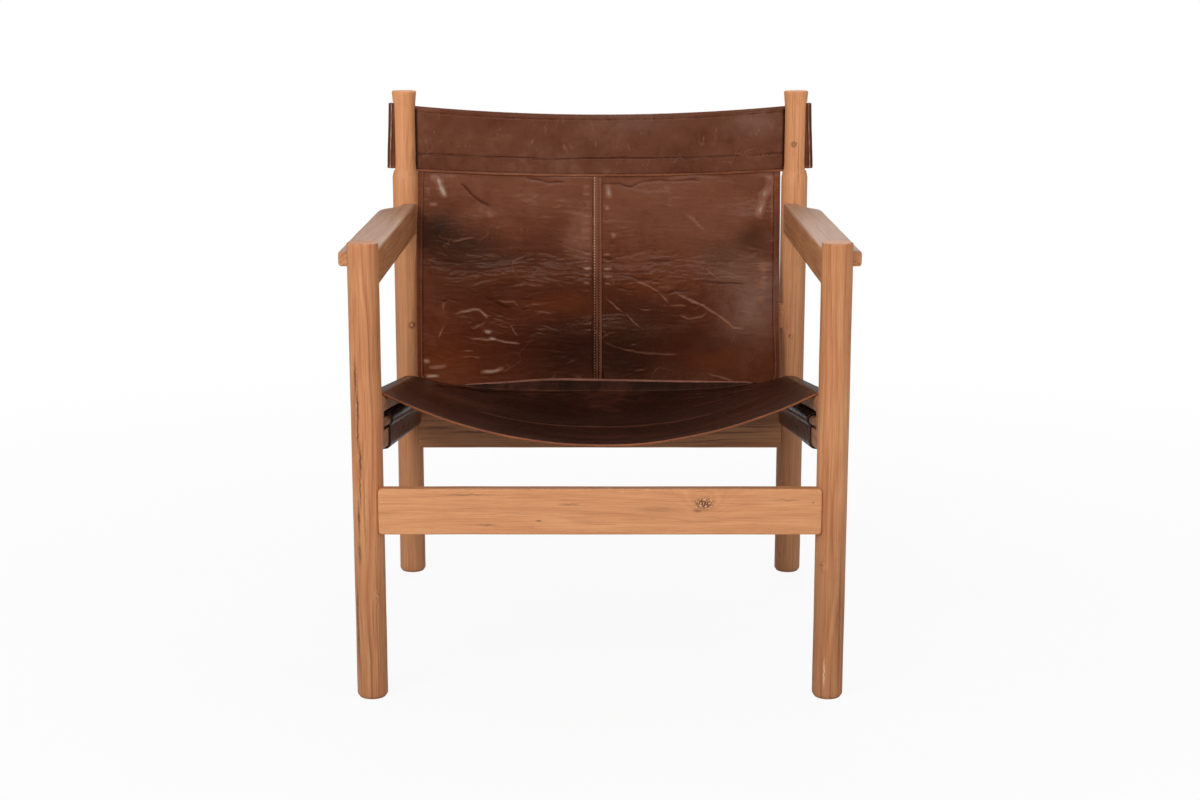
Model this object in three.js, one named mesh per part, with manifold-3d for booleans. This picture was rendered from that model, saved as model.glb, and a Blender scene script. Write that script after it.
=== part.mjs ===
// Leather sling lounge chair, in millimetres, +Z up, the sitter facing -Y, the floor at Z = 0.
//
// Four round teak posts carry everything. Three cross rails and two sloping seat rails are tenoned
// between them, and an armrest joins each front leg to the rear post behind it. The seat is one
// sheet of leather: on each side it goes over the seat rail, down its outer face, under it and up
// its inner face, and ends in a hem rolled round a dowel that lies in a routed groove. The back is
// two leather halves lapped at the middle and held in a folded band, whose ends pass through slots
// in the rear posts and are locked by upright dowels.

import * as THREE from 'three';
import { mergeVertices } from 'three/addons/utils/BufferGeometryUtils.js';
import Module from 'manifold-3d';

const wasm = await Module();
wasm.setup();

// Posts and legs
const legSpacing = 614;
const depthSpacing = 600;
const legDiameter = 41;
const frontLegHeight = 616;
const postAboveArm = 175.5;
const legX = legSpacing / 2;
const legRadius = legDiameter / 2;
const legInner = legX - legRadius;
const frontY = -depthSpacing / 2;
const rearY = depthSpacing / 2;
const rimRadius = 2.5;
const footInset = 3;
const footRise = 4.5;

// Joinery
const fitGap = 0.3;
const tenonDepth = 24;
const tenonThickness = 11;
const tenonShoulder = 6;

// Cross rails: front and rear stretcher, and the rail behind the lower back
const stretcherHeight = 62;
const stretcherThickness = 18;
const frontStretcherDrop = 38;
const rearStretcherDrop = 59;
const backRailRise = 73.5;
const frontStretcherInset = 1.5;
const rearStretcherInset = 4.5;
const crossEndLap = 6;
const crossCornerRadius = 5;
const crossEdge = 2;
const backRailHeight = 41;
const backRailThickness = 18;
const backRailInset = 5.5;
const backRailShoulder = 2;

// Seat rails, sloping down to the rear
const railThickness = 26;
const railDepth = 73.2;
const railInset = 2.5;
const railMiddleHeight = 329.5;
const railSlope = THREE.MathUtils.degToRad(8.4);
const railTopRadius = 8;
const railBottomRadius = 5;
const railFrontTenonShares = [-0.28, 0.28];
const railRearTenonShares = [-0.1, 0.38];

// Armrests
const armDrop = 12.5;
const armTop = frontLegHeight - armDrop;
const rearPostHeight = armTop + postAboveArm;
const armInnerDepth = 48;
const armOuterDepth = 20;
const armInset = 3;
const armOverhang = 12;
const armFootWidth = 19;
const armInnerRadius = 7;
const armOuterRadius = 4;
const armTenonWidth = 13;
const armTenonHeight = 26;
const armTenonDrop = 9;
const armFrontInset = 3;
const armFeather = 10;
const armTailLength = 104.5;

// Seat sling and its dowels
const seatLeather = 3;
const seatDowelDiameter = 13;
const seatDowelFrontInset = 48;
const seatDowelRearInset = 14.6;
const hemSlack = 0.5;
const hemInset = 3;
const hemEndAngle = THREE.MathUtils.degToRad(-95);
const grooveAbove = 5.5;
const grooveFrontRoom = 9;
const grooveRearRoom = 7.6;
const grooveCorner = 5;
const seatFrontInset = 65;
const seatFlapSetback = 36;
const seatSag = 71;
const seatLapHeight = 15;
const seatLapBend = 3;
const seatLapFade = 4;

// Back band, its dowels and the slots
const backLeather = 2.6;
const bandTopDrop = 7.5;
const bandWidth = 96;
const bandTopSag = 13.2;
const bandBottomSag = 8.4;
const bandBow = 2;
const bandDowelDiameter = 13;
const bandDowelProud = 1.5;
const bandRollSink = 2.35;
const bandPocket = 38;
const slotRoom = 3;
const grooveRoom = 4;
const waistInset = 3.15;
const capHeight = 30;
const waistLength = 94;
const waistLowerCove = 9;
const waistUpperCove = 25;

// Back panel halves
const panelFootForward = 35.5;
const panelFootDrop = 22;
const panelLeftInset = 2;
const panelLeftFlare = 3;
const panelRightInset = 5.5;
const panelSeam = 1.5;
const panelLap = 11;
const panelStep = 4;
const panelCornerInset = 9;
const panelCornerHeight = 34;
const panelRipple = 0.8;
const panelRippleCount = 3.5;
const panelLapFade = 16;

// Pegs
const railPegDiameter = 6;
const railPegLength = 25;
const railPegHeight = 6.5;
const railPegInset = 7;
const plugDiameter = 5;
const plugLength = 8;
const plugHeightShare = 0.436;
const plugInset = 3.3;
const pegProud = 0.5;
const screwDiameter = 2.4;
const screwLength = 14;
const screwHeadDiameter = 6;
const screwHeadHeight = 1.4;
const screwFrontInset = 270;
const screwBelowHem = 12;

// Facets
const roundSegments = 36;
const cornerSegments = 3;
const hemSegments = 11;
const seatSegments = 6;
const leavePasses = 6;
const bandSegments = 12;

// How deep the seat hangs at stations from the front edge (0) to the rear crease (1), as shares of
// its depth at the front edge, and how full its curve is there: 2 is a parabola, more is flatter.
const seatSagShares = [
  { along: 0, depth: 1, fullness: 2 },
  { along: 0.2, depth: 1.04, fullness: 2 },
  { along: 0.4, depth: 1.05, fullness: 2.05 },
  { along: 0.6, depth: 0.96, fullness: 2.2 },
  { along: 0.8, depth: 0.74, fullness: 2.6 },
  { along: 0.92, depth: 0.5, fullness: 3.1 },
  { along: 1, depth: 0.35, fullness: 3.6 },
];

// The turned-up rear margin of the seat, row by row: how far back it has come, as a share of its bend,
// where it lies flat and where it stands up, and its share of the margin's height.
const lapStepShares = [
  [0.34, 0.66, 0.08],
  [0.67, 1, 0.5],
  [1, 1, 1],
];

// Where the outer edge of an armrest's tail runs: share of the tail's length, share of the
// armrest's width that is left.
const armTailShares = [
  [0, 1],
  [0.14, 0.985],
  [0.24, 0.95],
  [0.33, 0.87],
  [0.41, 0.77],
  [0.58, 0.57],
  [0.76, 0.48],
  [1, 0.43],
];

// How a cove opens out: share of its height, share of its depth.
const coveShares = [
  [0, 0],
  [0.42, 0.18],
  [0.72, 0.5],
  [1, 1],
];

// Columns of a back panel half from its seam to its outer edge, as shares of its free width.
const panelColumnShares = [0.1, 0.24, 0.4, 0.56, 0.72, 0.86, 1];

// Heights of the rows of the back panel above the seat's margin, as shares of its free height.
const panelRowShares = [0, 0.1, 0.2, 0.31, 0.42, 0.53, 0.65, 0.77, 0.89, 1];

const overrun = legDiameter;

const material = (color, roughness) => new THREE.MeshStandardMaterial({ color, roughness, metalness: 0 });
const teak = () => material(0xb87a4b, 0.55);
const darkTeak = () => material(0x8a5a38, 0.6);
const seatHide = () => material(0x3a2018, 0.42);
const steel = () => new THREE.MeshStandardMaterial({ color: 0x6b6259, roughness: 0.4, metalness: 1 });
const backHide = () => material(0x54291a, 0.38);

// Solids and meshes

function indexed(geometry) {
  const bare = geometry.clone();
  for (const name of Object.keys(bare.attributes)) {
    if (name !== 'position') bare.deleteAttribute(name);
  }
  const merged = mergeVertices(bare, 1e-5);
  const index = merged.index.array;
  const kept = [];
  for (let i = 0; i < index.length; i += 3) {
    const [a, b, c] = [index[i], index[i + 1], index[i + 2]];
    if (a !== b && b !== c && c !== a) kept.push(a, b, c);
  }
  merged.setIndex(kept);
  return merged;
}

function solidOf(geometry) {
  const merged = indexed(geometry);
  return new wasm.Manifold(new wasm.Mesh({
    numProp: 3,
    vertProperties: new Float32Array(merged.attributes.position.array),
    triVerts: new Uint32Array(merged.index.array),
  }));
}

function geometryOf(solid) {
  const mesh = solid.getMesh();
  const geometry = new THREE.BufferGeometry();
  geometry.setAttribute('position', new THREE.BufferAttribute(new Float32Array(mesh.vertProperties), 3));
  geometry.setIndex(Array.from(mesh.triVerts));
  return geometry;
}

const cut = (base, ...tools) => tools.reduce((solid, tool) => solid.subtract(solidOf(tool)), base);
const join = (base, ...more) => more.reduce((solid, piece) => solid.add(solidOf(piece)), base);

function mirrored(geometry) {
  const copy = indexed(geometry);
  copy.scale(-1, 1, 1);
  const index = Array.from(copy.index.array);
  for (let i = 0; i < index.length; i += 3) [index[i], index[i + 1]] = [index[i + 1], index[i]];
  copy.setIndex(index);
  return copy;
}

function closed(points, triangles) {
  const geometry = new THREE.BufferGeometry();
  const flat = points.flatMap((point) => [point.x, point.y, point.z]);
  geometry.setAttribute('position', new THREE.BufferAttribute(new Float32Array(flat), 3));
  let volume = 0;
  for (const [a, b, c] of triangles) {
    volume += points[a].dot(new THREE.Vector3().crossVectors(points[b], points[c]));
  }
  geometry.setIndex(triangles.flatMap(([a, b, c]) => (volume < 0 ? [a, c, b] : [a, b, c])));
  return geometry;
}

// Shapes

function block(x0, x1, y0, y1, z0, z1) {
  const box = new THREE.BoxGeometry(x1 - x0, y1 - y0, z1 - z0);
  return box.translate((x0 + x1) / 2, (y0 + y1) / 2, (z0 + z1) / 2);
}

function turned(profile, segments = roundSegments) {
  const points = profile.map(([radius, height]) => new THREE.Vector2(radius, height));
  return new THREE.LatheGeometry(points, segments).rotateX(Math.PI / 2);
}

const rod = (radius, z0, z1, segments) => turned([[0, z0], [radius, z0], [radius, z1], [0, z1]], segments);

// A flat outline in X and Z, made solid between two values of Y.
function plateXZ(shape, y0, y1, bevel = 0) {
  const geometry = new THREE.ExtrudeGeometry(shape, {
    depth: y1 - y0 - 2 * bevel,
    bevelEnabled: bevel > 0,
    bevelThickness: bevel,
    bevelSize: bevel,
    bevelOffset: -bevel,
    bevelSegments: 2,
    curveSegments: cornerSegments,
  });
  return geometry.rotateX(Math.PI / 2).translate(0, y1 - bevel, 0);
}

function roundedRectangle(x0, x1, z0, z1, radii) {
  const [lowLeft, lowRight, highRight, highLeft] = radii;
  const shape = new THREE.Shape();
  shape.moveTo(x0 + lowLeft, z0);
  shape.lineTo(x1 - lowRight, z0);
  shape.absarc(x1 - lowRight, z0 + lowRight, lowRight, -Math.PI / 2, 0, false);
  shape.absarc(x1 - highRight, z1 - highRight, highRight, 0, Math.PI / 2, false);
  shape.absarc(x0 + highLeft, z1 - highLeft, highLeft, Math.PI / 2, Math.PI, false);
  shape.absarc(x0 + lowLeft, z0 + lowLeft, lowLeft, Math.PI, Math.PI * 1.5, false);
  return shape;
}

// Closed loops of points, one after another, joined into a body with flat ends.
function loft(loops) {
  const count = loops[0].length;
  const points = loops.flat();
  const triangles = [];
  for (let i = 0; i + 1 < loops.length; i += 1) {
    for (let j = 0; j < count; j += 1) {
      const next = (j + 1) % count;
      const [a, b, c, d] = [i * count + j, i * count + next, (i + 1) * count + next, (i + 1) * count + j];
      triangles.push([a, b, c], [a, c, d]);
    }
  }
  const last = (loops.length - 1) * count;
  for (let j = 1; j + 1 < count; j += 1) {
    triangles.push([0, j + 1, j], [last, last + j, last + j + 1]);
  }
  return closed(points, triangles);
}

function bisector(before, here, after) {
  const arriving = here.clone().sub(before);
  const leaving = after.clone().sub(here);
  if (arriving.lengthSq() === 0) return { tangent: leaving.normalize(), spread: 1 };
  if (leaving.lengthSq() === 0) return { tangent: arriving.normalize(), spread: 1 };
  const tangent = arriving.normalize().add(leaving.normalize());
  const spread = tangent.length() / 2;
  return { tangent: tangent.normalize(), spread };
}

// A sheet of even thickness about a grid of points: rows of equal length.
function sheet(rows, thickness) {
  const [rowCount, columnCount] = [rows.length, rows[0].length];
  const at = (i, j) => rows[Math.min(Math.max(i, 0), rowCount - 1)][Math.min(Math.max(j, 0), columnCount - 1)];
  const faces = [[], []];
  for (let i = 0; i < rowCount; i += 1) {
    for (let j = 0; j < columnCount; j += 1) {
      const across = bisector(at(i, j - 1), at(i, j), at(i, j + 1));
      const along = bisector(at(i - 1, j), at(i, j), at(i + 1, j));
      const normal = new THREE.Vector3().crossVectors(across.tangent, along.tangent).normalize();
      const offset = thickness / 2 / (across.spread * along.spread);
      faces[0].push(at(i, j).clone().addScaledVector(normal, offset));
      faces[1].push(at(i, j).clone().addScaledVector(normal, -offset));
    }
  }
  const below = rowCount * columnCount;
  const triangles = [];
  const quad = (a, b, c, d) => triangles.push([a, b, c], [a, c, d]);
  for (let i = 0; i + 1 < rowCount; i += 1) {
    for (let j = 0; j + 1 < columnCount; j += 1) {
      const [a, b] = [i * columnCount + j, i * columnCount + j + 1];
      const [c, d] = [b + columnCount, a + columnCount];
      quad(a, b, c, d);
      quad(below + a, below + d, below + c, below + b);
    }
  }
  for (let i = 0; i + 1 < rowCount; i += 1) {
    const [near, far] = [i * columnCount, (i + 1) * columnCount];
    const [nearEnd, farEnd] = [near + columnCount - 1, far + columnCount - 1];
    quad(near, far, below + far, below + near);
    quad(nearEnd, below + nearEnd, below + farEnd, farEnd);
  }
  const lastRow = (rowCount - 1) * columnCount;
  for (let j = 0; j + 1 < columnCount; j += 1) {
    quad(j, below + j, below + j + 1, j + 1);
    quad(lastRow + j, lastRow + j + 1, below + lastRow + j + 1, below + lastRow + j);
  }
  return closed([...faces[0], ...faces[1]], triangles);
}

// Frames: the chair's own, and the seat's, which slopes with the seat rails

const seatFrame = new THREE.Group();
seatFrame.position.set(0, 0, railMiddleHeight);
seatFrame.rotation.x = -railSlope;
seatFrame.updateMatrix();
const intoSeat = seatFrame.matrix.clone().invert();
const outOfSeat = (x, y, z) => new THREE.Vector3(x, y, z).applyMatrix4(seatFrame.matrix);

const waistTop = rearPostHeight - capHeight;
const waistBottom = waistTop - waistLength;
const bandTop = waistTop - bandTopDrop;
const bandBottom = bandTop - bandWidth;
const panelFootY = rearY - panelFootForward;
const panelFootHeight = railMiddleHeight - panelFootDrop;
const panelLeftEdge = legInner - panelLeftInset;
const panelRightEdge = legInner - panelRightInset;
const seatLapTop = panelFootHeight + seatLapHeight;

// A post's cylinder grown by the joint's gap, about the origin of the post.
const copeTool = () => rod(legRadius + fitGap, -overrun, rearPostHeight + overrun);

// Cross rails

const crossHalfLength = legInner + crossEndLap;

const crossRails = {
  front: {
    height: stretcherHeight,
    thickness: stretcherThickness,
    bottom: railMiddleHeight - frontStretcherDrop - stretcherHeight,
    postY: frontY,
    inset: frontStretcherInset,
    shoulder: tenonShoulder,
  },
  rear: {
    height: stretcherHeight,
    thickness: stretcherThickness,
    bottom: railMiddleHeight - rearStretcherDrop - stretcherHeight,
    postY: rearY,
    inset: rearStretcherInset,
    shoulder: tenonShoulder,
  },
  back: {
    height: backRailHeight,
    thickness: backRailThickness,
    bottom: railMiddleHeight + backRailRise,
    postY: rearY,
    inset: backRailInset,
    shoulder: backRailShoulder,
  },
};

// How far a cross rail's middle lies behind the axis of its posts.
const crossOffset = (rail) => rail.inset + rail.thickness / 2 - legRadius;

// The right-hand tenon of a cross rail, about the foot of its right post.
function crossTenon(rail, grow = 0) {
  const y = crossOffset(rail);
  const half = tenonThickness / 2 + grow;
  const low = rail.bottom + rail.shoulder - grow;
  const high = rail.bottom + rail.height - rail.shoulder + grow;
  const root = -legRadius - crossEndLap;
  const tip = -legRadius + tenonDepth + grow;
  return block(root, tip, y - half, y + half, low, high);
}

// The peg through the back rail's tenon, about the foot of the right post.
const pegAxisX = -railPegInset;
const pegFront = -Math.sqrt(legRadius ** 2 - railPegInset ** 2) - pegProud;
const pegAxisZ = crossRails.back.bottom + railPegHeight;

function railPeg(radius, from, to) {
  return rod(radius, from, to, roundSegments / 2).rotateX(-Math.PI / 2).translate(pegAxisX, 0, pegAxisZ);
}

function crossRailGeometry(rail) {
  const y = crossOffset(rail);
  const [front, back] = [y - rail.thickness / 2, y + rail.thickness / 2];
  const corner = Math.min(crossCornerRadius, rail.height / 2);
  const outline = roundedRectangle(
    -crossHalfLength,
    crossHalfLength,
    rail.bottom,
    rail.bottom + rail.height,
    [corner, corner, corner, corner],
  );
  let solid = solidOf(plateXZ(outline, front, back, crossEdge));
  const tenon = crossTenon(rail).translate(legX, 0, 0);
  const cope = copeTool().translate(legX, 0, 0);
  solid = cut(solid, cope, mirrored(cope));
  solid = join(solid, tenon, mirrored(tenon));
  if (rail === crossRails.back) {
    const hole = railPeg(railPegDiameter / 2 + fitGap, -overrun, overrun).translate(legX, 0, 0);
    solid = cut(solid, hole, mirrored(hole));
  }
  return geometryOf(solid);
}

// The rear margin of the seat turns up against the back panel, whose plane it follows.
const panelTilt = (rearY - panelFootY) / (bandBottom - panelFootHeight);
const panelLean = Math.atan(panelTilt);
const lapOffset = ((seatLeather + backLeather) / 2 + fitGap) / Math.cos(panelLean);
const lapY = (z) => panelFootY + (z - panelFootHeight) * panelTilt - lapOffset;

// Where, along the seat's own slope, the rear crease lies at a height above the seat's middle plane.
function creaseY(z) {
  const [sin, cos] = [Math.sin(railSlope), Math.cos(railSlope)];
  const level = lapY(railMiddleHeight) - seatLapBend;
  return (level + z * (panelTilt * cos - sin)) / (cos + panelTilt * sin);
}

// Seat rails

const railInnerX = legInner + railInset;
const railOuterX = railInnerX + railThickness;
const railMiddleX = (railInnerX + railOuterX) / 2;
const hemMiddle = seatDowelDiameter / 2 + hemSlack + seatLeather / 2;
const hemRadius = hemMiddle + seatLeather / 2;
const hemX = railInnerX + hemInset;
const hemRear = creaseY(0) + seatLapBend;
const seatDowelFront = frontY + seatDowelFrontInset;

// A seat rail's end tenon in the seat's frame, about the middle of the right rail.
function railTenon(end, grow = 0) {
  const [low, high] = (end < 0 ? railFrontTenonShares : railRearTenonShares).map((share) => share * railDepth);
  const half = tenonThickness / 2 + grow;
  const root = rearY - legRadius - tenonDepth / 2;
  const tip = (rearY - legRadius + tenonDepth) / Math.cos(railSlope) + grow;
  const [y0, y1] = end < 0 ? [-tip, -root] : [root, tip];
  return block(-half, half, y0, y1, low - grow, high + grow);
}

// The same tenon moved to stand in a post's mortise, about the foot of the right post.
function railMortise(end) {
  const tool = railTenon(end, fitGap).translate(railMiddleX, 0, 0);
  return tool.applyMatrix4(seatFrame.matrix).translate(-legX, -end * rearY, 0);
}

function grooveTool() {
  const low = -hemRadius - fitGap;
  const high = hemRadius + grooveAbove;
  const corners = [grooveCorner, grooveCorner, grooveCorner, grooveCorner];
  const groove = roundedRectangle(seatDowelFront - grooveFrontRoom, hemRear + grooveRearRoom, low, high, corners);
  const depth = hemInset + hemRadius + fitGap;
  const tool = plateXZ(groove, -overrun, depth);
  return tool.rotateZ(-Math.PI / 2).scale(1, -1, 1);
}

// Room in a seat rail for the end of the rear stretcher, about the rail's middle.
function stretcherNotch() {
  const { bottom, height, inset, thickness } = crossRails.rear;
  const front = rearY - legRadius + inset;
  const end = crossHalfLength + fitGap;
  const notch = block(-end, end, front - fitGap, front + thickness + fitGap, bottom - fitGap, bottom + height + fitGap);
  return notch.applyMatrix4(intoSeat).translate(-railMiddleX, 0, 0);
}

function railGeometry() {
  const radii = [railBottomRadius, railBottomRadius, railTopRadius, railTopRadius];
  const half = { x: railThickness / 2, z: railDepth / 2 };
  const outline = roundedRectangle(-half.x, half.x, -half.z, half.z, radii);
  const reach = rearY / Math.cos(railSlope);
  let solid = solidOf(plateXZ(outline, -reach, reach));
  for (const end of [-1, 1]) {
    const post = copeTool().translate(legX, end * rearY, 0).applyMatrix4(intoSeat).translate(-railMiddleX, 0, 0);
    const beyond = block(-overrun, overrun, 0, 2 * overrun, -railDepth, railDepth);
    if (end < 0) beyond.translate(0, -2 * overrun, 0);
    beyond.translate(0, end * (rearY - legRadius / 2) / Math.cos(railSlope), 0);
    solid = cut(solid, post, beyond);
    solid = join(solid, railTenon(end));
  }
  const groove = indexed(grooveTool().translate(-half.x, 0, 0));
  return geometryOf(cut(solid, turnedOut(groove), screwSolid(fitGap), stretcherNotch()));
}

// The same geometry with its faces pointing out.
function turnedOut(geometry) {
  const position = geometry.attributes.position;
  const points = [];
  for (let i = 0; i < position.count; i += 1) points.push(new THREE.Vector3().fromBufferAttribute(position, i));
  const triangles = [];
  const index = geometry.index.array;
  for (let i = 0; i < index.length; i += 3) triangles.push([index[i], index[i + 1], index[i + 2]]);
  return closed(points, triangles);
}

// Armrests, about the top of the right front leg's axis line: X from the leg's axis, Y and Z the chair's

const armInner = armInset - legRadius;
const armOuter = legRadius + armOverhang;
const armWidth = armOuter - armInner;
const armTenonTop = armTop - armTenonDrop;
const armTenonX = -legRadius + railInset + railThickness / 2;

function armTenon(end, grow = 0) {
  const half = armTenonWidth / 2 + grow;
  const root = rearY - legRadius - tenonDepth / 2;
  const tip = rearY - legRadius + tenonDepth + grow;
  const [y0, y1] = end < 0 ? [-tip, -root] : [root, tip];
  const [low, high] = [armTenonTop - armTenonHeight - grow, armTenonTop + grow];
  return block(armTenonX - half, armTenonX + half, y0, y1, low, high);
}

function armSection() {
  const low = armTop - armInnerDepth;
  const edge = armTop - armOuterDepth;
  const shape = new THREE.Shape();
  shape.moveTo(armInner + armOuterRadius, low);
  shape.lineTo(armInner + armFootWidth, low);
  shape.bezierCurveTo(legRadius / 2, low, legRadius / 2, edge, legRadius, edge);
  shape.lineTo(armOuter - armOuterRadius, edge);
  shape.absarc(armOuter - armOuterRadius, edge + armOuterRadius, armOuterRadius, -Math.PI / 2, 0, false);
  shape.absarc(armOuter - armOuterRadius, armTop - armOuterRadius, armOuterRadius, 0, Math.PI / 2, false);
  shape.absarc(armInner + armInnerRadius, armTop - armInnerRadius, armInnerRadius, Math.PI / 2, Math.PI, false);
  shape.absarc(armInner + armOuterRadius, low + armOuterRadius, armOuterRadius, Math.PI, Math.PI * 1.5, false);
  return shape;
}

// The armrest seen from above, as a prism: a straight outer edge that turns in to the rear post.
function armPlan() {
  const end = rearY;
  const tail = rearY - legRadius - armTailLength;
  const points = [[armInner - armOverhang, end], [armInner - armOverhang, frontY], [armOuter + armOverhang, frontY]];
  points.push([armOuter + armOverhang, tail]);
  for (const [along, width] of armTailShares) {
    points.push([armInner + width * armWidth, tail + along * armTailLength]);
  }
  points.push([armInner + armTailShares.at(-1)[1] * armWidth, end]);
  const shape = new THREE.Shape(points.map(([x, y]) => new THREE.Vector2(x, y)));
  const height = 2 * armInnerDepth;
  return new THREE.ExtrudeGeometry(shape, { depth: height, bevelEnabled: false }).translate(0, 0, armTop - height * 0.75);
}

function armGeometry() {
  let solid = solidOf(plateXZ(armSection(), frontY + armFrontInset, rearY));
  solid = solid.intersect(solidOf(turnedOut(indexed(armPlan()))));
  const feather = frontY + armFeather;
  solid = cut(
    solid,
    copeTool().translate(0, frontY, 0),
    copeTool().translate(0, rearY, 0),
    block(armInner - overrun, 0, frontY - overrun, feather, 0, armTop + overrun),
    block(armInner - overrun, armOuter + overrun, rearY - armFeather, rearY + overrun, 0, armTop + overrun),
  );
  return geometryOf(join(solid, armTenon(-1), armTenon(1)));
}

// Posts and legs, each about its own foot

const footProfile = [[0, 0], [legRadius - footInset, 0], [legRadius, footRise]];

function rimProfile(height) {
  const steps = [0, 1, 2].map((step) => (step * Math.PI) / 4);
  const rim = steps.map((angle) => [
    legRadius - rimRadius * (1 - Math.cos(angle)),
    height - rimRadius * (1 - Math.sin(angle)),
  ]);
  return [...rim, [0, height]];
}

function frontLegGeometry() {
  const solid = solidOf(turned([...footProfile, ...rimProfile(frontLegHeight)]));
  return geometryOf(cut(
    solid,
    crossTenon(crossRails.front, fitGap),
    railMortise(-1),
    armTenon(-1, fitGap).translate(0, -frontY, 0),
  ));
}

// Band and slot

const bandThickness = 3 * backLeather + 2 * fitGap;
const bandRollRadius = bandDowelDiameter / 2 + fitGap + backLeather;
const bandRollX = legX + legRadius - waistInset - bandRollSink;
const bandTopAt = (x) => bandTop + bandTopSag * (x / legInner) ** 2;
const bandBottomAt = (x) => bandBottom + bandBottomSag * (x / legInner) ** 2;
const bandBowAt = (x) => bandBow * Math.max(0, 1 - (x / legInner) ** 2);
const slotLow = bandBottomAt(legInner) - slotRoom;
const slotHigh = bandTopAt(bandRollX) + slotRoom;
const grooveLow = slotLow - grooveRoom;
const grooveHigh = slotHigh;

// The turned waist: a short cove up from the leg's full size, and a long flare out to the cap.
function waistProfile() {
  const waist = legRadius - waistInset;
  const lower = coveShares.map(([along, out]) => [waist + out * waistInset, waistBottom - along * waistLowerCove]);
  const upper = coveShares.map(([along, out]) => [waist + out * waistInset, waistTop + along * waistUpperCove]);
  return [...lower.reverse(), ...upper];
}

// The round groove down the outer side of a rear post, about the foot of the right post.
function rollGroove() {
  const radius = bandRollRadius + fitGap;
  return rod(radius, grooveLow, grooveHigh, roundSegments * 0.75).translate(bandRollX - legX, 0, 0);
}

function rearPostGeometry(plugged) {
  const solid = solidOf(turned([...footProfile, ...waistProfile(), ...rimProfile(rearPostHeight)]));
  const slotHalf = bandThickness / 2 + fitGap;
  const tools = [
    rollGroove(),
    block(-overrun, overrun, -slotHalf, slotHalf, slotLow, slotHigh),
    crossTenon(crossRails.rear, fitGap),
    crossTenon(crossRails.back, fitGap),
    railMortise(1),
    armTenon(1, fitGap).translate(0, -rearY, 0),
    railPeg(railPegDiameter / 2 + fitGap, -overrun, pegFront + railPegLength + fitGap),
  ];
  if (plugged) tools.push(plugTool(fitGap));
  return geometryOf(cut(solid, ...tools));
}

// The plug in the front of the right post, about the foot of that post.
function plugTool(grow = 0) {
  const front = Math.sqrt((legRadius - waistInset) ** 2 - plugInset ** 2);
  const [from, to] = grow ? [-overrun, -front + plugLength + grow] : [-front - pegProud, -front + plugLength];
  const plug = rod(plugDiameter / 2 + grow, from, to, roundSegments / 2).rotateX(-Math.PI / 2);
  return plug.translate(-plugInset, 0, THREE.MathUtils.lerp(waistBottom, waistTop, plugHeightShare));
}

// The screw that holds the seat's inner flap to the rail, about the rail's middle: its head is inside.
function screwSolid(grow = 0) {
  const under = flapX - seatLeather / 2 - railMiddleX;
  const [shank, head] = [screwDiameter / 2, screwHeadDiameter / 2];
  const profile = grow
    ? [[0, -overrun], [shank + grow, -overrun], [shank + grow, screwLength + grow], [0, screwLength + grow]]
    : [
      [0, -screwHeadHeight],
      [head / 2, -screwHeadHeight],
      [head, -fitGap - screwHeadHeight / 3],
      [head, -fitGap],
      [shank, -fitGap],
      [shank, screwLength],
      [0, screwLength],
    ];
  return turned(profile, roundSegments / 3).rotateY(Math.PI / 2)
    .translate(under, frontY + screwFrontInset, -hemRadius - screwBelowHem);
}

// Seat sling, in the seat's frame

const wrapRadius = (radius) => radius + fitGap + seatLeather / 2;
const flapX = railInnerX - fitGap - seatLeather / 2;

// Points of half the seat's cross-section: x, z, and how far the point's front edge is set back.
function seatHalfProfile(depth, fullness) {
  const topRadius = wrapRadius(railTopRadius);
  const lowRadius = wrapRadius(railBottomRadius);
  const [innerTop, outerTop] = [railInnerX + railTopRadius, railOuterX - railTopRadius];
  const [innerLow, outerLow] = [railInnerX + railBottomRadius, railOuterX - railBottomRadius];
  const [topZ, lowZ] = [railDepth / 2 - railTopRadius, railBottomRadius - railDepth / 2];
  const leave = { x: innerTop, z: topZ + topRadius, angle: 0 };
  for (let pass = 0; pass < leavePasses; pass += 1) {
    const sag = depth - (topZ + topRadius - leave.z);
    leave.angle = Math.atan((fullness * sag) / leave.x);
    leave.x = innerTop - topRadius * Math.sin(leave.angle);
    leave.z = topZ + topRadius * Math.cos(leave.angle);
  }
  const sag = depth - (topZ + topRadius - leave.z);
  const points = [];
  for (let k = 0; k < seatSegments; k += 1) {
    const share = k / seatSegments;
    points.push([share * leave.x, leave.z - sag * (1 - share ** fullness), 0]);
  }
  const bend = (x, z, radius, from, to, steps, setback) => {
    const step = (to - from) / steps;
    const reach = radius / Math.cos(step / 2);
    for (let k = 0; k < steps; k += 1) {
      const angle = from + (k + 0.5) * step;
      points.push([x + reach * Math.sin(angle), z + reach * Math.cos(angle), setback]);
    }
  };
  bend(innerTop, topZ, topRadius, -leave.angle, 0, cornerSegments - 1, 0);
  bend(outerTop, topZ, topRadius, 0, Math.PI / 2, cornerSegments, 0);
  bend(outerLow, lowZ, lowRadius, Math.PI / 2, Math.PI, cornerSegments - 1, 0);
  bend(innerLow, lowZ, lowRadius, Math.PI, Math.PI * 1.5, cornerSegments - 1, 1);
  const start = 2 * Math.PI - Math.acos((flapX - hemX) / hemMiddle);
  for (let k = 0; k <= hemSegments; k += 1) {
    const angle = start + ((hemEndAngle - start) * k) / hemSegments;
    points.push([hemX + hemMiddle * Math.cos(angle), hemMiddle * Math.sin(angle), 1]);
  }
  return points;
}

function seatProfile(depth, fullness) {
  const right = seatHalfProfile(depth, fullness);
  const left = right.slice(1).reverse().map(([x, z, setback]) => [-x, z, setback]);
  return [...left, ...right];
}

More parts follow.
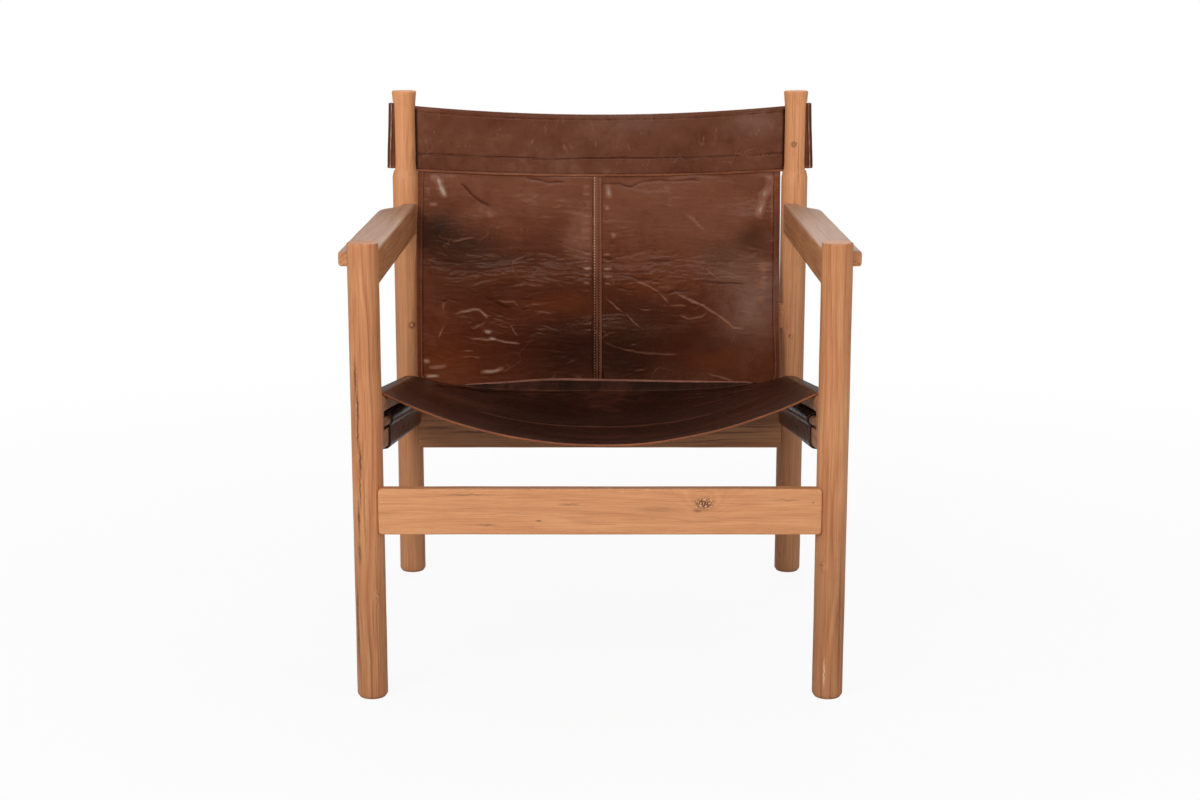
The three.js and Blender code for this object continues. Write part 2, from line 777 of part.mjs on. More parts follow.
function lapRows(crease) {
  const rows = lapStepShares.map(() => []);
  for (const foot of crease) {
    const here = foot.clone().applyMatrix4(seatFrame.matrix);
    const between = Math.abs(foot.x) < hemX - hemRadius;
    const height = between ? Math.max(0, seatLapTop - here.z) : 0;
    const full = THREE.MathUtils.smoothstep(height, 0, seatLapFade);
    lapStepShares.forEach(([back, backUpright, up], i) => {
      const rise = up * height;
      const reach = THREE.MathUtils.lerp(back, backUpright, full) * seatLapBend;
      const point = here.clone().add(new THREE.Vector3(0, rise * panelTilt, rise)).applyMatrix4(intoSeat);
      point.y += reach;
      rows[i].push(point);
    });
  }
  return rows;
}

function seatRows() {
  const rows = seatSagShares.map(({ along, depth, fullness }) => (
    seatProfile(depth * seatSag, fullness).map(([x, z, setback]) => {
      const front = frontY + seatFrontInset + setback * seatFlapSetback;
      return new THREE.Vector3(x, THREE.MathUtils.lerp(front, creaseY(z), along), z);
    })
  ));
  return [...rows, ...lapRows(rows.at(-1))];
}

function seatSlingGeometry() {
  const hole = screwSolid(fitGap).translate(railMiddleX, 0, 0);
  const solid = solidOf(sheet(seatRows(), seatLeather));
  return geometryOf(cut(solid, hole, mirrored(hole)));
}

function seatDowelGeometry() {
  return rod(seatDowelDiameter / 2, seatDowelFront, hemRear - seatDowelRearInset, roundSegments / 2)
    .rotateX(-Math.PI / 2);
}

// Back panel, in the chair's frame

const pocketTop = (x) => bandBottomAt(x) + bandPocket;

function panelY(x, z) {
  const share = Math.min((z - panelFootHeight) / (bandBottomAt(x) - panelFootHeight), 1);
  const swell = Math.sin(share * Math.PI) ** 2;
  const ripple = panelRipple * swell * Math.sin(share * Math.PI * 2 * panelRippleCount);
  return THREE.MathUtils.lerp(panelFootY, rearY + bandBowAt(x), share) + ripple;
}

function panelEdge(z, edge, flare) {
  const share = THREE.MathUtils.clamp((bandBottom - z) / (bandBottom - panelFootHeight), 0, 1);
  const corner = THREE.MathUtils.clamp(1 - (z - panelFootHeight) / panelCornerHeight, 0, 1);
  return edge + flare * Math.min(share * 4, 1) - (panelCornerInset + flare) * corner;
}

// How far the lap at the middle seam stands forward: nothing behind the seat's turned-up margin,
// where the covered half goes back instead, and a whole thickness above it.
const lapForwardFoot = seatLapTop + seatLeather;
const lapForwardHead = lapForwardFoot + panelLapFade;
const lapForward = (z) => THREE.MathUtils.smoothstep(z, lapForwardFoot, lapForwardHead);

function panelGeometry(side) {
  const edgeAt = side < 0
    ? (z) => -panelEdge(z, panelLeftEdge, panelLeftFlare)
    : (z) => panelEdge(z, panelRightEdge, 0);
  const covered = panelSeam - panelLap;
  const lapDepth = backLeather + fitGap;
  const forward = (z) => -lapDepth * lapForward(z);
  const backward = (z) => lapDepth * (1 - lapForward(z));
  const level = () => 0;
  const clear = 2 * fitGap + backLeather / 4;
  const columns = side < 0
    ? [[panelSeam, forward], [covered + panelLap / 2, forward], [covered, forward], [covered - panelStep, level]]
    : [[covered + clear, backward], [panelSeam + clear, backward], [panelSeam + clear + panelStep, level]];
  const inner = columns.at(-1)[0];
  const heights = [() => panelFootHeight, () => lapForwardFoot];
  for (const share of panelRowShares) {
    heights.push((x) => THREE.MathUtils.lerp(lapForwardHead, bandBottomAt(x) - fitGap, share));
  }
  heights.push(pocketTop);
  const rows = heights.map((height) => {
    const point = (x, offset) => {
      const z = height(x);
      return new THREE.Vector3(x, panelY(x, z) + offset(z), z);
    };
    const middle = columns.map(([x, offset]) => point(x, offset));
    const edge = edgeAt(height(0));
    return [...middle, ...panelColumnShares.map((out) => point(THREE.MathUtils.lerp(inner, edge, out), level))];
  });
  const solid = solidOf(sheet(rows, backLeather));
  if (side > 0) return geometryOf(solid);
  const notchFoot = bandBottom - fitGap - backLeather / 2;
  return geometryOf(cut(solid, block(
    covered - panelStep - backLeather,
    panelSeam + overrun,
    rearY - overrun,
    rearY + overrun,
    notchFoot,
    rearPostHeight,
  )));
}

// Back band, in the chair's frame

function bandSection(x) {
  const half = bandThickness / 2;
  const [low, high] = [bandBottomAt(x), bandTopAt(x)];
  const y = rearY + bandBowAt(x);
  const points = [[-half, low], [half, low]];
  for (let k = 0; k <= 4; k += 1) {
    const angle = (k * Math.PI) / 4;
    points.push([half * Math.cos(angle), high - half + half * Math.sin(angle)]);
  }
  return points.map(([offset, z]) => new THREE.Vector3(x, y + offset, z));
}

function pocketRows() {
  const rows = [];
  const edge = panelLeftEdge + fitGap;
  for (const lift of [-1, 1]) {
    const row = [];
    for (let k = 0; k <= bandSegments; k += 1) {
      const x = THREE.MathUtils.lerp(-edge, edge, k / bandSegments);
      const z = lift < 0 ? bandBottomAt(x) - overrun : pocketTop(x) + fitGap;
      row.push(new THREE.Vector3(x, rearY + bandBowAt(x), z));
    }
    rows.push(row);
  }
  return rows;
}

function bandGeometry() {
  const stations = [-bandRollX, -legX];
  for (let k = 0; k <= bandSegments; k += 1) stations.push(THREE.MathUtils.lerp(-legInner, legInner, k / bandSegments));
  stations.push(legX, bandRollX);
  const [low, high] = [bandBottomAt(bandRollX), bandTopAt(bandRollX)];
  const roll = rod(bandRollRadius, low, high, roundSegments / 2).translate(bandRollX, rearY, 0);
  const bore = rod(bandDowelDiameter / 2 + fitGap, low - overrun, high + overrun, roundSegments / 2);
  bore.translate(bandRollX, rearY, 0);
  let solid = join(solidOf(loft(stations.map(bandSection))), roll, mirrored(roll));
  solid = cut(solid, bore, mirrored(bore), sheet(pocketRows(), backLeather + 2 * fitGap));
  return geometryOf(solid);
}

// Assembly

const chair = new THREE.Group();

function add(parent, name, geometry, finish, x = 0, y = 0, z = 0) {
  const mesh = new THREE.Mesh(geometry, finish);
  mesh.name = name;
  mesh.position.set(x, y, z);
  parent.add(mesh);
  return mesh;
}

const sides = [
  { name: 'left', sign: -1, shaped: mirrored },
  { name: 'right', sign: 1, shaped: (geometry) => geometry },
];

const frontLeg = frontLegGeometry();
const rearPosts = { left: rearPostGeometry(false), right: rearPostGeometry(true) };
const arm = armGeometry();
const rail = railGeometry();
const peg = railPeg(railPegDiameter / 2, pegFront, pegFront + railPegLength);
const [rollLow, rollHigh] = [bandBottomAt(bandRollX), bandTopAt(bandRollX)];
const bandDowel = rod(bandDowelDiameter / 2, rollLow - bandDowelProud, rollHigh + bandDowelProud, roundSegments / 2);

chair.add(seatFrame);
for (const { name, sign, shaped } of sides) {
  add(chair, `front_leg_${name}`, shaped(frontLeg), teak(), sign * legX, frontY);
  add(chair, `rear_post_${name}`, shaped(rearPosts[name]), teak(), sign * legX, rearY);
  add(chair, `armrest_${name}`, shaped(arm), teak(), sign * legX);
  add(chair, `back_rail_peg_${name}`, shaped(peg), darkTeak(), sign * legX, rearY);
  add(chair, `band_dowel_${name}`, bandDowel.clone(), darkTeak(), sign * bandRollX, rearY);
  add(seatFrame, `seat_rail_${name}`, shaped(rail), teak(), sign * railMiddleX);
  add(seatFrame, `seat_dowel_${name}`, seatDowelGeometry(), darkTeak(), sign * hemX);
  add(seatFrame, `hem_screw_${name}`, shaped(screwSolid()), steel(), sign * railMiddleX);
}
add(chair, 'post_plug_right', plugTool(), darkTeak(), legX, rearY);
add(chair, 'front_stretcher', crossRailGeometry(crossRails.front), teak(), 0, frontY);
add(chair, 'rear_stretcher', crossRailGeometry(crossRails.rear), teak(), 0, rearY);
add(chair, 'back_rail', crossRailGeometry(crossRails.back), teak(), 0, rearY);
add(seatFrame, 'seat_sling', seatSlingGeometry(), seatHide());
add(chair, 'back_panel_left', panelGeometry(-1), backHide());
add(chair, 'back_panel_right', panelGeometry(1), backHide());
add(chair, 'back_band', bandGeometry(), backHide());

export default chair;
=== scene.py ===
"""A leather sling lounge chair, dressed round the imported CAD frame.

Lengths are in millimetres until a mesh is made. The chair's own frame has +Z up and -Y to the front.
"""

import math

import bmesh
import bpy
import numpy as np
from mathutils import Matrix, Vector


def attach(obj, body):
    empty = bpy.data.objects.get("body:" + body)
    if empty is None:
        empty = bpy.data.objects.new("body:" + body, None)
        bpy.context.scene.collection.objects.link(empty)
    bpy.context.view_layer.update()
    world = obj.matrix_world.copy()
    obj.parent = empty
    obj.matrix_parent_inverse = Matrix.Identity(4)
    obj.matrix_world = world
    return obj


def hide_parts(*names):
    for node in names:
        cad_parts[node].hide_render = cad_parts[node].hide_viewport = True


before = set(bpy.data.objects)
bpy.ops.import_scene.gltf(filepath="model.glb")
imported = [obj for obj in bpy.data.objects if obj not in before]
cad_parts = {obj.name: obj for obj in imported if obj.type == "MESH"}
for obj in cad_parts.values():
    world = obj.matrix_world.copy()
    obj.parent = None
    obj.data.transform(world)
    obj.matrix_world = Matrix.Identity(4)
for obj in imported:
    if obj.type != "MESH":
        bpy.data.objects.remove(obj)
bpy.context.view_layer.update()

MM = 0.001
FINE = 1.3

# Posts and legs
LEG_X = 307.0
LEG_RADIUS = 20.5
LEG_INNER = LEG_X - LEG_RADIUS
FRONT_Y = -300.0
REAR_Y = 300.0
FRONT_TOP = 616.0
REAR_TOP = 779.0
RIM_RADIUS = 2.5
WAIST_INSET = 3.15
WAIST_LOW = 670.0
WAIST_HIGH = 749.0
LOWER_COVE = 26.0
CAP_RADIUS = 18.9
UPPER_COVE = 25.0
CUT_EDGE = 0.5

# Armrests, about the axis of the leg
ARM_TOP = 603.5
ARM_INNER = -17.5
ARM_OUTER = 32.5
ARM_LOW = 555.5
ARM_EDGE = 583.5
ARM_FOOT_END = 1.5
ARM_FRONT = -297.0
ARM_REAR = 290.0
ARM_TAIL = 175.0
ARM_TAIL_LENGTH = 104.5
ARM_ROUND = 4.0
ARM_END_ROUND = 1.6
ARM_TAIL_SHARES = (
    (0, 1), (0.14, 0.985), (0.24, 0.95), (0.33, 0.87), (0.41, 0.77), (0.58, 0.57), (0.76, 0.48), (1, 0.43),
)

# Seat, in a frame that slopes down to the rear about the height of the rails' middle
SEAT_HEIGHT = 329.5
SEAT_SLOPE = math.radians(8.4)
SEAT_SIN, SEAT_COS = math.sin(SEAT_SLOPE), math.cos(SEAT_SLOPE)
RAIL_INNER = 289.0
RAIL_OUTER = 315.0
RAIL_HALF = 36.6
RAIL_TOP_RADIUS = 8.0
RAIL_LOW_RADIUS = 5.0
SEAT_LEATHER = 3.0
SEAT_GAP = 0.3
SEAT_FRONT = -235.0
SEAT_SETBACK = 36.0
SEAT_SAG = 71.0
SEAT_SHARES = (
    (0, 1, 2), (0.2, 1.04, 2), (0.4, 1.05, 2.05), (0.6, 0.96, 2.2),
    (0.8, 0.74, 2.6), (0.92, 0.5, 3.1), (1, 0.35, 3.6),
)
SEAT_LEAVE_LENGTH = 300.0
HEM_X = 292.0
HEM_MIDDLE = 8.5
HEM_END = math.radians(-95)
DOWEL_RADIUS = 6.5
DOWEL_FRONT = -252.0
DOWEL_REAR = 249.0
LAP_TOP = 322.5
LAP_STEPS = 16
LAP_BEND = 3.0
LAP_TURN = 0.4
SEAT_LENGTH = 500.0
SEAT_ROW = 1.6

# Back
BACK_LEATHER = 2.6
PANEL_FOOT = 307.5
PANEL_FOOT_Y = 264.5
PANEL_HEIGHT = 378.0
PANEL_LEFT = 286.3
PANEL_LEFT_FLARE = 4.2
PANEL_RIGHT = 283.4
PANEL_RIGHT_FOOT = 2.6
PANEL_CORNER = 25.0
PANEL_CORNER_INSET = 6.0
SEAM_EDGE = 1.5
SEAM_COVERED = -9.5
SEAM_STEP = 4.0
SEAM_DEPTH = 2.9
SEAM_FOOT = 325.5
SEAM_HEAD = 341.5
OUTER_ROW = -8.4
INNER_ROW = -1.2
BAND_TOP = 741.5
BAND_LOW = 645.5
BAND_TOP_SAG = 13.2
BAND_LOW_SAG = 8.4
BAND_BOW = 2.0
BAND_HALF = 4.2
BAND_POCKET = 38.0
ROLL_X = 322.0
ROLL_RADIUS = 9.4
ROLL_LEAN = 4.2
ROLL_LIFT = 3.0
SLOT_HALF = 4.5
SLOT_LOW = 653.3
SLOT_HIGH = 761.2
GROOVE_LOW = 653.8
GROOVE_RADIUS = 9.7
BAND_DOWEL_LOW = 657.6
BAND_DOWEL_HIGH = 759.7
BACK_TILT = (REAR_Y - PANEL_FOOT_Y) / (BAND_LOW - PANEL_FOOT)

# Cross pieces, by where they lie from front to rear and from below to above
CROSS_REACH = 292.5
PLANK_EDGE = 2.0
PLANK_CORNER = 5.0
FRONT_STRETCHER = ((-319, -301), (229.5, 291.5))
REAR_STRETCHER = ((284, 302), (208.5, 270.5))
BACK_RAIL = ((285, 303), (403, 444))

# Pegs and plug: radius, front, rear and eased edge, then the place across and the height
PEG = (3.0, 279.9, 305.0, 0.9)
PEG_X = 300.0
PEG_HEIGHT = 409.5
PLUG = (2.5, 282.3, 291.0, 0.7)
PLUG_X = 303.7
PLUG_HEIGHT = 696.0

ROUND = 96
SIDES = (("left", -1), ("right", 1))


# Numbers


def unit(vectors):
    return vectors / np.maximum(np.linalg.norm(vectors, axis=-1, keepdims=True), 1e-9)


def smooth(value, low, high):
    share = np.clip((value - low) / (high - low), 0, 1)
    return share * share * (3 - 2 * share)


def bell(value, middle, width):
    return np.exp(-(((value - middle) / width) ** 2))


def along_table(share, stops, values):
    """A smooth curve through a table of values."""
    stops, values = np.asarray(stops, float), np.asarray(values, float)
    slopes = np.gradient(values, stops)
    index = np.clip(np.searchsorted(stops, share, "right") - 1, 0, len(stops) - 2)
    wide = stops[index + 1] - stops[index]
    t = (share - stops[index]) / wide
    return (
        (2 * t**3 - 3 * t**2 + 1) * values[index]
        + (t**3 - 2 * t**2 + t) * wide * slopes[index]
        + (3 * t**2 - 2 * t**3) * values[index + 1]
        + (t**3 - t**2) * wide * slopes[index + 1]
    )


def ripple(x, y, seed):
    """Gradient noise of period 1, about -1 to 1."""
    source = np.random.default_rng(seed)
    turn = source.permutation(256)
    angle = source.uniform(0, 2 * np.pi, 256)
    ahead, aside = np.cos(angle), np.sin(angle)
    x, y = np.broadcast_arrays(np.asarray(x, float), np.asarray(y, float))
    cell_x, cell_y = np.floor(x).astype(int), np.floor(y).astype(int)
    part_x, part_y = x - cell_x, y - cell_y

    def corner(i, j):
        key = turn[(turn[(cell_x + i) & 255] + cell_y + j) & 255]
        return ahead[key] * (part_x - i) + aside[key] * (part_y - j)

    ease_x = part_x**3 * (part_x * (part_x * 6 - 15) + 10)
    ease_y = part_y**3 * (part_y * (part_y * 6 - 15) + 10)
    near = corner(0, 0) * (1 - ease_x) + corner(1, 0) * ease_x
    far = corner(0, 1) * (1 - ease_x) + corner(1, 1) * ease_x
    return 1.5 * (near * (1 - ease_y) + far * ease_y)


def ripples(x, y, seed, octaves=3, gain=0.5):
    total = 0
    for k in range(octaves):
        total = total + gain**k * ripple(x * 2**k, y * 2**k, seed + 11 * k)
    return total


def folds(x, y, seed, sharp=5.5):
    """1 along thin wandering lines, falling to 0 beside them."""
    return np.maximum(0, 1 - sharp * np.abs(ripple(x, y, seed))) ** 2


def crease(x, y, path, depth, width):
    """A fold pressed in along a path of points, with a raised lip on either side, shallow at its ends."""
    shape = np.broadcast(x, y).shape
    nearest, along, start = np.full(shape, 1e9), np.zeros(shape), 0.0
    for (x0, y0), (x1, y1) in zip(path, path[1:]):
        reach = math.hypot(x1 - x0, y1 - y0)
        share = np.clip(((x - x0) * (x1 - x0) + (y - y0) * (y1 - y0)) / reach**2, 0, 1)
        distance = np.hypot(x - x0 - share * (x1 - x0), y - y0 - share * (y1 - y0))
        along = np.where(distance < nearest, start + share * reach, along)
        nearest = np.minimum(nearest, distance)
        start += reach
    taper = smooth(np.minimum(along, start - along), 0, min(0.45 * start, 16))
    return depth * taper * (0.45 * bell(nearest, 2 * width, width) - bell(nearest, 0, width))


# Meshes


def quads(rows, columns, start=0):
    row, column = np.meshgrid(np.arange(rows - 1), np.arange(columns - 1), indexing="ij")
    corner = start + row * columns + column
    return np.stack([corner, corner + 1, corner + columns + 1, corner + columns], -1).reshape(-1, 4)


def mesh_object(name, points, faces):
    """A mesh object with its faces turned outwards, from points in millimetres."""
    mesh = bpy.data.meshes.new(name)
    points = np.asarray(points, float).reshape(-1, 3) * MM
    mesh.from_pydata(points.tolist(), [], [list(map(int, face)) for face in faces])
    work = bmesh.new()
    work.from_mesh(mesh)
    bmesh.ops.recalc_face_normals(work, faces=work.faces)
    work.to_mesh(mesh)
    work.free()
    made = bpy.data.objects.new(name, mesh)
    bpy.context.scene.collection.objects.link(made)
    return made


def piece(name, points, faces, looks, picks=None, fold=None, flat=None, sharp=40.0):
    """A piece that rides on the chair. Leather also brings its faces' looks, its fold tint, which holds
    painted highlights and painted shade, and flat places.
    """
    made = mesh_object(name, points, faces)
    mesh = made.data
    for look in looks:
        mesh.materials.append(look)
    if picks is not None:
        mesh.polygons.foreach_set("material_index", np.asarray(picks, np.int32))
        layer = mesh.attributes.new("fold", "FLOAT", "POINT")
        layer.data.foreach_set("value", np.asarray(fold, np.float32).ravel())
        layer = mesh.attributes.new("flat", "FLOAT_VECTOR", "POINT")
        layer.data.foreach_set("vector", (np.asarray(flat, np.float32) * MM).ravel())
    mesh.shade_smooth()
    mesh.set_sharp_from_angle(angle=math.radians(sharp))
    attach(made, "root")
    return made


def loft(loops):
    """Closed loops of points joined into a body, with a point in the middle of each end."""
    loops = np.asarray(loops, float)
    count, size = loops.shape[:2]
    around = np.concatenate([np.arange(size), [0]])
    faces = []
    for i in range(count - 1):
        for j in range(size):
            a, b = i * size + around[j], i * size + around[j + 1]
            faces.append((a, b, b + size, a + size))
    points = np.concatenate([loops.reshape(-1, 3), loops[:1].mean(1), loops[-1:].mean(1)])
    last = (count - 1) * size
    for j in range(size):
        faces.append((count * size, around[j + 1], around[j]))
        faces.append((count * size + 1, last + around[j], last + around[j + 1]))
    return points, faces


def turned(profile, x, y, axis="z", segments=ROUND):
    """A turned body about an upright line, or with axis y about a level one."""
    angle = np.arange(segments) * 2 * np.pi / segments
    radius, height = np.asarray(profile, float).T
    radius = np.maximum(radius, 0.02)
    side, front = radius[:, None] * np.cos(angle), radius[:, None] * np.sin(angle)
    level = np.broadcast_to(height[:, None], side.shape)
    if axis == "y":
        return loft(np.stack([x + side, level, y + front], -1))
    return loft(np.stack([x + side, y + front, level], -1))


def uneven(points, seed, amount=0.22, period=70.0):
    """Points moved a little, as hand work leaves them."""
    moved = np.array(points, float)
    for k in range(2):
        aside = points[:, 1 - k] / (2 * period) + points[:, k] / 90
        moved[:, k] += amount * ripple(points[:, 2] / period, aside, seed + k)
    moved[:, 2] += amount * ripple(points[:, 0] / period, points[:, 1] / period, seed + 7)
    return moved


# A sheet's rounded rim: how far out it goes and how thick it still is, as shares of half the thickness
RIM_STEPS = ((0.3, 0.95), (0.68, 0.74), (0.95, 0.32))


def travelled(grid, axis):
    """How far each point of a grid is along its columns or rows."""
    steps = np.linalg.norm(np.diff(grid, axis=axis), axis=-1)
    start = np.zeros_like(np.take(steps, [0], axis))
    return np.concatenate([start, np.cumsum(steps, axis)], axis)


def rimmed(grid, half):
    """A grid with rounded-off rows and columns added all round."""
    for axis in (0, 1):
        first, last = np.take(grid, 0, axis), np.take(grid, -1, axis)
        back, ahead = unit(first - np.take(grid, 1, axis)), unit(last - np.take(grid, -2, axis))
        low = [np.expand_dims(first + back * reach * half, axis) for reach, _ in reversed(RIM_STEPS)]
        high = [np.expand_dims(last + ahead * reach * half, axis) for reach, _ in RIM_STEPS]
        grid = np.concatenate([*low, grid, *high], axis)
    return grid


class Hide:
    """A sheet of leather about a grid of points, whose grain side is where its normals point."""

    def __init__(self, grid, thickness, relief, tint, grain_side=0, flip=False):
        half, rim = thickness / 2, len(RIM_STEPS)
        extra = np.broadcast_to(grain_side, relief.shape)
        normal = unit(np.cross(np.gradient(grid, axis=1), np.gradient(grid, axis=0)))
        if flip:
            normal = -normal
        grid = grid + normal * relief[..., None]
        self.normal = normal
        self.front = grid + normal * (half + extra)[..., None]
        wide = rimmed(grid, half)
        normals = np.pad(normal, ((rim, rim), (rim, rim), (0, 0)), "edge")
        taper = np.array([share for _, share in RIM_STEPS])
        down, across = (np.concatenate([taper[::-1], np.ones(size), taper]) for size in relief.shape)
        share = np.minimum(down[:, None], across[None])
        front = wide + normals * (share * (half + np.pad(extra, rim, "edge")))[..., None]
        back = wide - normals * (share * half)[..., None]
        self.points = np.concatenate([front.reshape(-1, 3), back.reshape(-1, 3)])
        rows, columns = wide.shape[:2]
        count = rows * columns
        ring = np.concatenate([
            np.arange(columns - 1),
            np.arange(rows - 1) * columns + columns - 1,
            (rows - 1) * columns + np.arange(columns - 1, 0, -1),
            np.arange(rows - 1, 0, -1) * columns,
        ])
        following = np.roll(ring, -1)
        edge = np.stack([ring, ring + count, following + count, following], -1)
        self.faces = np.concatenate([quads(rows, columns), quads(rows, columns, count)[:, ::-1], edge])
        outer = np.ones((rows - 1, columns - 1), bool)
        outer[rim:-rim, rim:-rim] = False
        sides = [np.where(outer.ravel(), 1, look) for look in (0, 2)]
        self.picks = np.concatenate([*sides, np.ones(len(edge), int)])
        width, length = (np.pad(travelled(grid, axis), rim, "edge") for axis in (1, 0))
        flat = np.stack([width, length, np.zeros((rows, columns))], -1).reshape(-1, 3)
        self.flat = np.concatenate([flat, flat + (0, 0, 40)])
        self.tint = np.tile(np.pad(tint, rim, "edge").ravel(), 2)

    def bare(self, cells):
        """Shows the raw hide on cells of the grain side."""
        rim = len(RIM_STEPS)
        rows, columns = cells.shape[0] + 2 * rim, cells.shape[1] + 2 * rim
        upper = self.picks[: rows * columns].reshape(rows, columns)
        upper[rim:-rim, rim:-rim][cells] = 1


def leather_piece(name, hides, looks):
    """One piece from one or more sheets of leather."""
    starts = np.cumsum([0] + [len(hide.points) for hide in hides])
    faces = np.concatenate([hide.faces + start for hide, start in zip(hides, starts)])
    points, picks, fold, flat = (
        np.concatenate([getattr(hide, key) for hide in hides]) for key in ("points", "picks", "tint", "flat")
    )
    return piece(name, points, faces, looks, picks, fold, flat, sharp=60)


STITCH_PITCH = 4.3
STITCH_SINK = 0.12
STITCH_STATIONS = ((-0.5, 0.35, -1.2), (-0.38, 0.85, -0.2), (0, 1, 0), (0.38, 0.85, -0.2), (0.5, 0.35, -1.2))


def stitched(name, rows, look, length=3.2, thickness=0.5):
    """Stitches along rows of points. Each row comes with the directions in which its leather faces."""
    ring = np.arange(6) * np.pi / 3
    loops, faces, start = [], [], 0
    for points, normals in rows:
        steps = travelled(points, 0)

        def read(table, place):
            return np.array([np.interp(place, steps, table[:, k]) for k in range(3)])

        for middle in np.arange(STITCH_PITCH / 2, steps[-1] - STITCH_PITCH / 2, STITCH_PITCH):
            at = read(points, middle)
            up = unit(read(normals, middle))
            ahead = unit(read(points, middle + 1) - at)
            aside = np.cross(ahead, up)
            girth = thickness * (np.cos(ring)[:, None] * aside + 0.9 * np.sin(ring)[:, None] * up)
            stitch, stitch_faces = loft([
                at + share * length * ahead + (thickness - STITCH_SINK + lift * thickness) * up + fat * girth
                for share, fat, lift in STITCH_STATIONS
            ])
            loops.append(stitch)
            faces += [tuple(start + i for i in face) for face in stitch_faces]
            start += len(stitch)
    return piece(name, np.concatenate(loops), faces, [look])


# Materials


def rgb(red, green, blue):
    """A linear colour from one as the screen shows it."""
    shown = np.array([red, green, blue]) / 255
    linear = np.where(shown <= 0.04045, shown / 12.92, ((shown + 0.055) / 1.055) ** 2.4)
    return (*map(float, linear), 1.0)


class Graph:
    """The nodes of a material, or of another owner, written as calls."""

    def __init__(self, name, owner=None):
        self.owner = owner or bpy.data.materials.new(name)
        self.owner.use_nodes = True
        self.tree = self.owner.node_tree
        self.tree.nodes.clear()

    def put(self, socket, value):
        if isinstance(value, bpy.types.NodeSocket):
            self.tree.links.new(value, socket)
        elif value is not None:
            socket.default_value = value

    def add(self, kind, *values, settings=None, **named):
        node = self.tree.nodes.new("ShaderNode" + kind)
        for key, value in (settings or {}).items():
            setattr(node, key, value)
        for socket, value in zip(node.inputs, values):
            self.put(socket, value)
        for key, value in named.items():
            self.put(node.inputs[key.replace("_", " ")], value)
        return node

    def math(self, operation, first, second=None, third=None):
        return self.add("Math", first, second, third, settings={"operation": operation}).outputs[0]

    def plus(self, *values):
        total = values[0]
        for value in values[1:]:
            total = self.math("ADD", total, value)
        return total

    def times(self, *values):
        total = values[0]
        for value in values[1:]:
            total = self.math("MULTIPLY", total, value)
        return total

    def here(self):
        return self.add("TexCoord").outputs["Object"]

    def attribute(self, name, output):
        return self.add("Attribute", settings={"attribute_name": name}).outputs[output]

    def vector(self, x, y, z):
        return self.add("CombineXYZ", x, y, z).outputs[0]

    def vectors(self, operation, first, second=None, output=0):
        return self.add("VectorMath", first, second, settings={"operation": operation}).outputs[output]

    def noise(self, place, scale, detail=2.0, roughness=0.5, output="Fac"):
        node = self.add("TexNoise", Vector=place, Scale=scale, Detail=detail, Roughness=roughness)
        return node.outputs[output]

    def moved(self, place, scale, detail, amount):
        """A place pushed about by noise, so that what is drawn from it wanders."""
        centred = self.vectors("SUBTRACT", self.noise(place, scale, detail, output="Color"), (0.5, 0.5, 0.5))
        return self.vectors("ADD", place, self.vectors("MULTIPLY", centred, (amount, amount, amount)))

    def line_noise(self, place, scale, detail=2.0):
        settings = {"noise_dimensions": "1D"}
        return self.add("TexNoise", settings=settings, W=place, Scale=scale, Detail=detail).outputs["Fac"]

    def spread(self, value, low, high, to_low=0.0, to_high=1.0):
        settings = {"interpolation_type": "SMOOTHSTEP"}
        return self.add("MapRange", value, low, high, to_low, to_high, settings=settings).outputs[0]

    def ramp(self, factor, *stops):
        node = self.add("ValToRGB", factor)
        elements = node.color_ramp.elements
        while len(elements) < len(stops):
            elements.new(0.5)
        for element, (position, colour) in zip(elements, stops):
            element.position = position
            element.color = colour
        return node.outputs["Color"]

    def mix(self, factor, first, second, blend="MIX"):
        node = self.add("Mix", settings={"data_type": "RGBA", "blend_type": blend})
        self.put(node.inputs[0], factor)
        self.put(node.inputs[6], first)
        self.put(node.inputs[7], second)
        return node.outputs[2]

    def distance(self, place, middle, radii):
        """How far a place is from a middle, where 1 is at the radii."""
        offset = self.vectors("SUBTRACT", place, tuple(c * MM for c in middle))
        scaled = self.vectors("MULTIPLY", offset, tuple(1 / (r * MM) for r in radii))
        return self.vectors("LENGTH", scaled, output="Value")

    def patch(self, place, middle, radii, hard=2.0):
        """1 at a middle, fading out about the radii."""
        far = self.math("POWER", self.distance(place, middle, radii), hard)
        return self.math("EXPONENT", self.times(far, -1.0))

    def bump(self, height, distance, strength=1.0):
        return self.add("Bump", Strength=strength, Distance=distance, Height=height).outputs[0]

    def show(self, shader, output="OutputMaterial"):
        self.put(self.add(output).inputs["Surface"], shader.outputs[0])
        return self.owner

    def finish(self, **named):
        return self.show(self.add("BsdfPrincipled", **named))


ALONG = {"x": (1, 2, 0), "y": (2, 0, 1), "z": (0, 1, 2)}
WARP = 0.0035
KNOT_STRETCH = 1.5


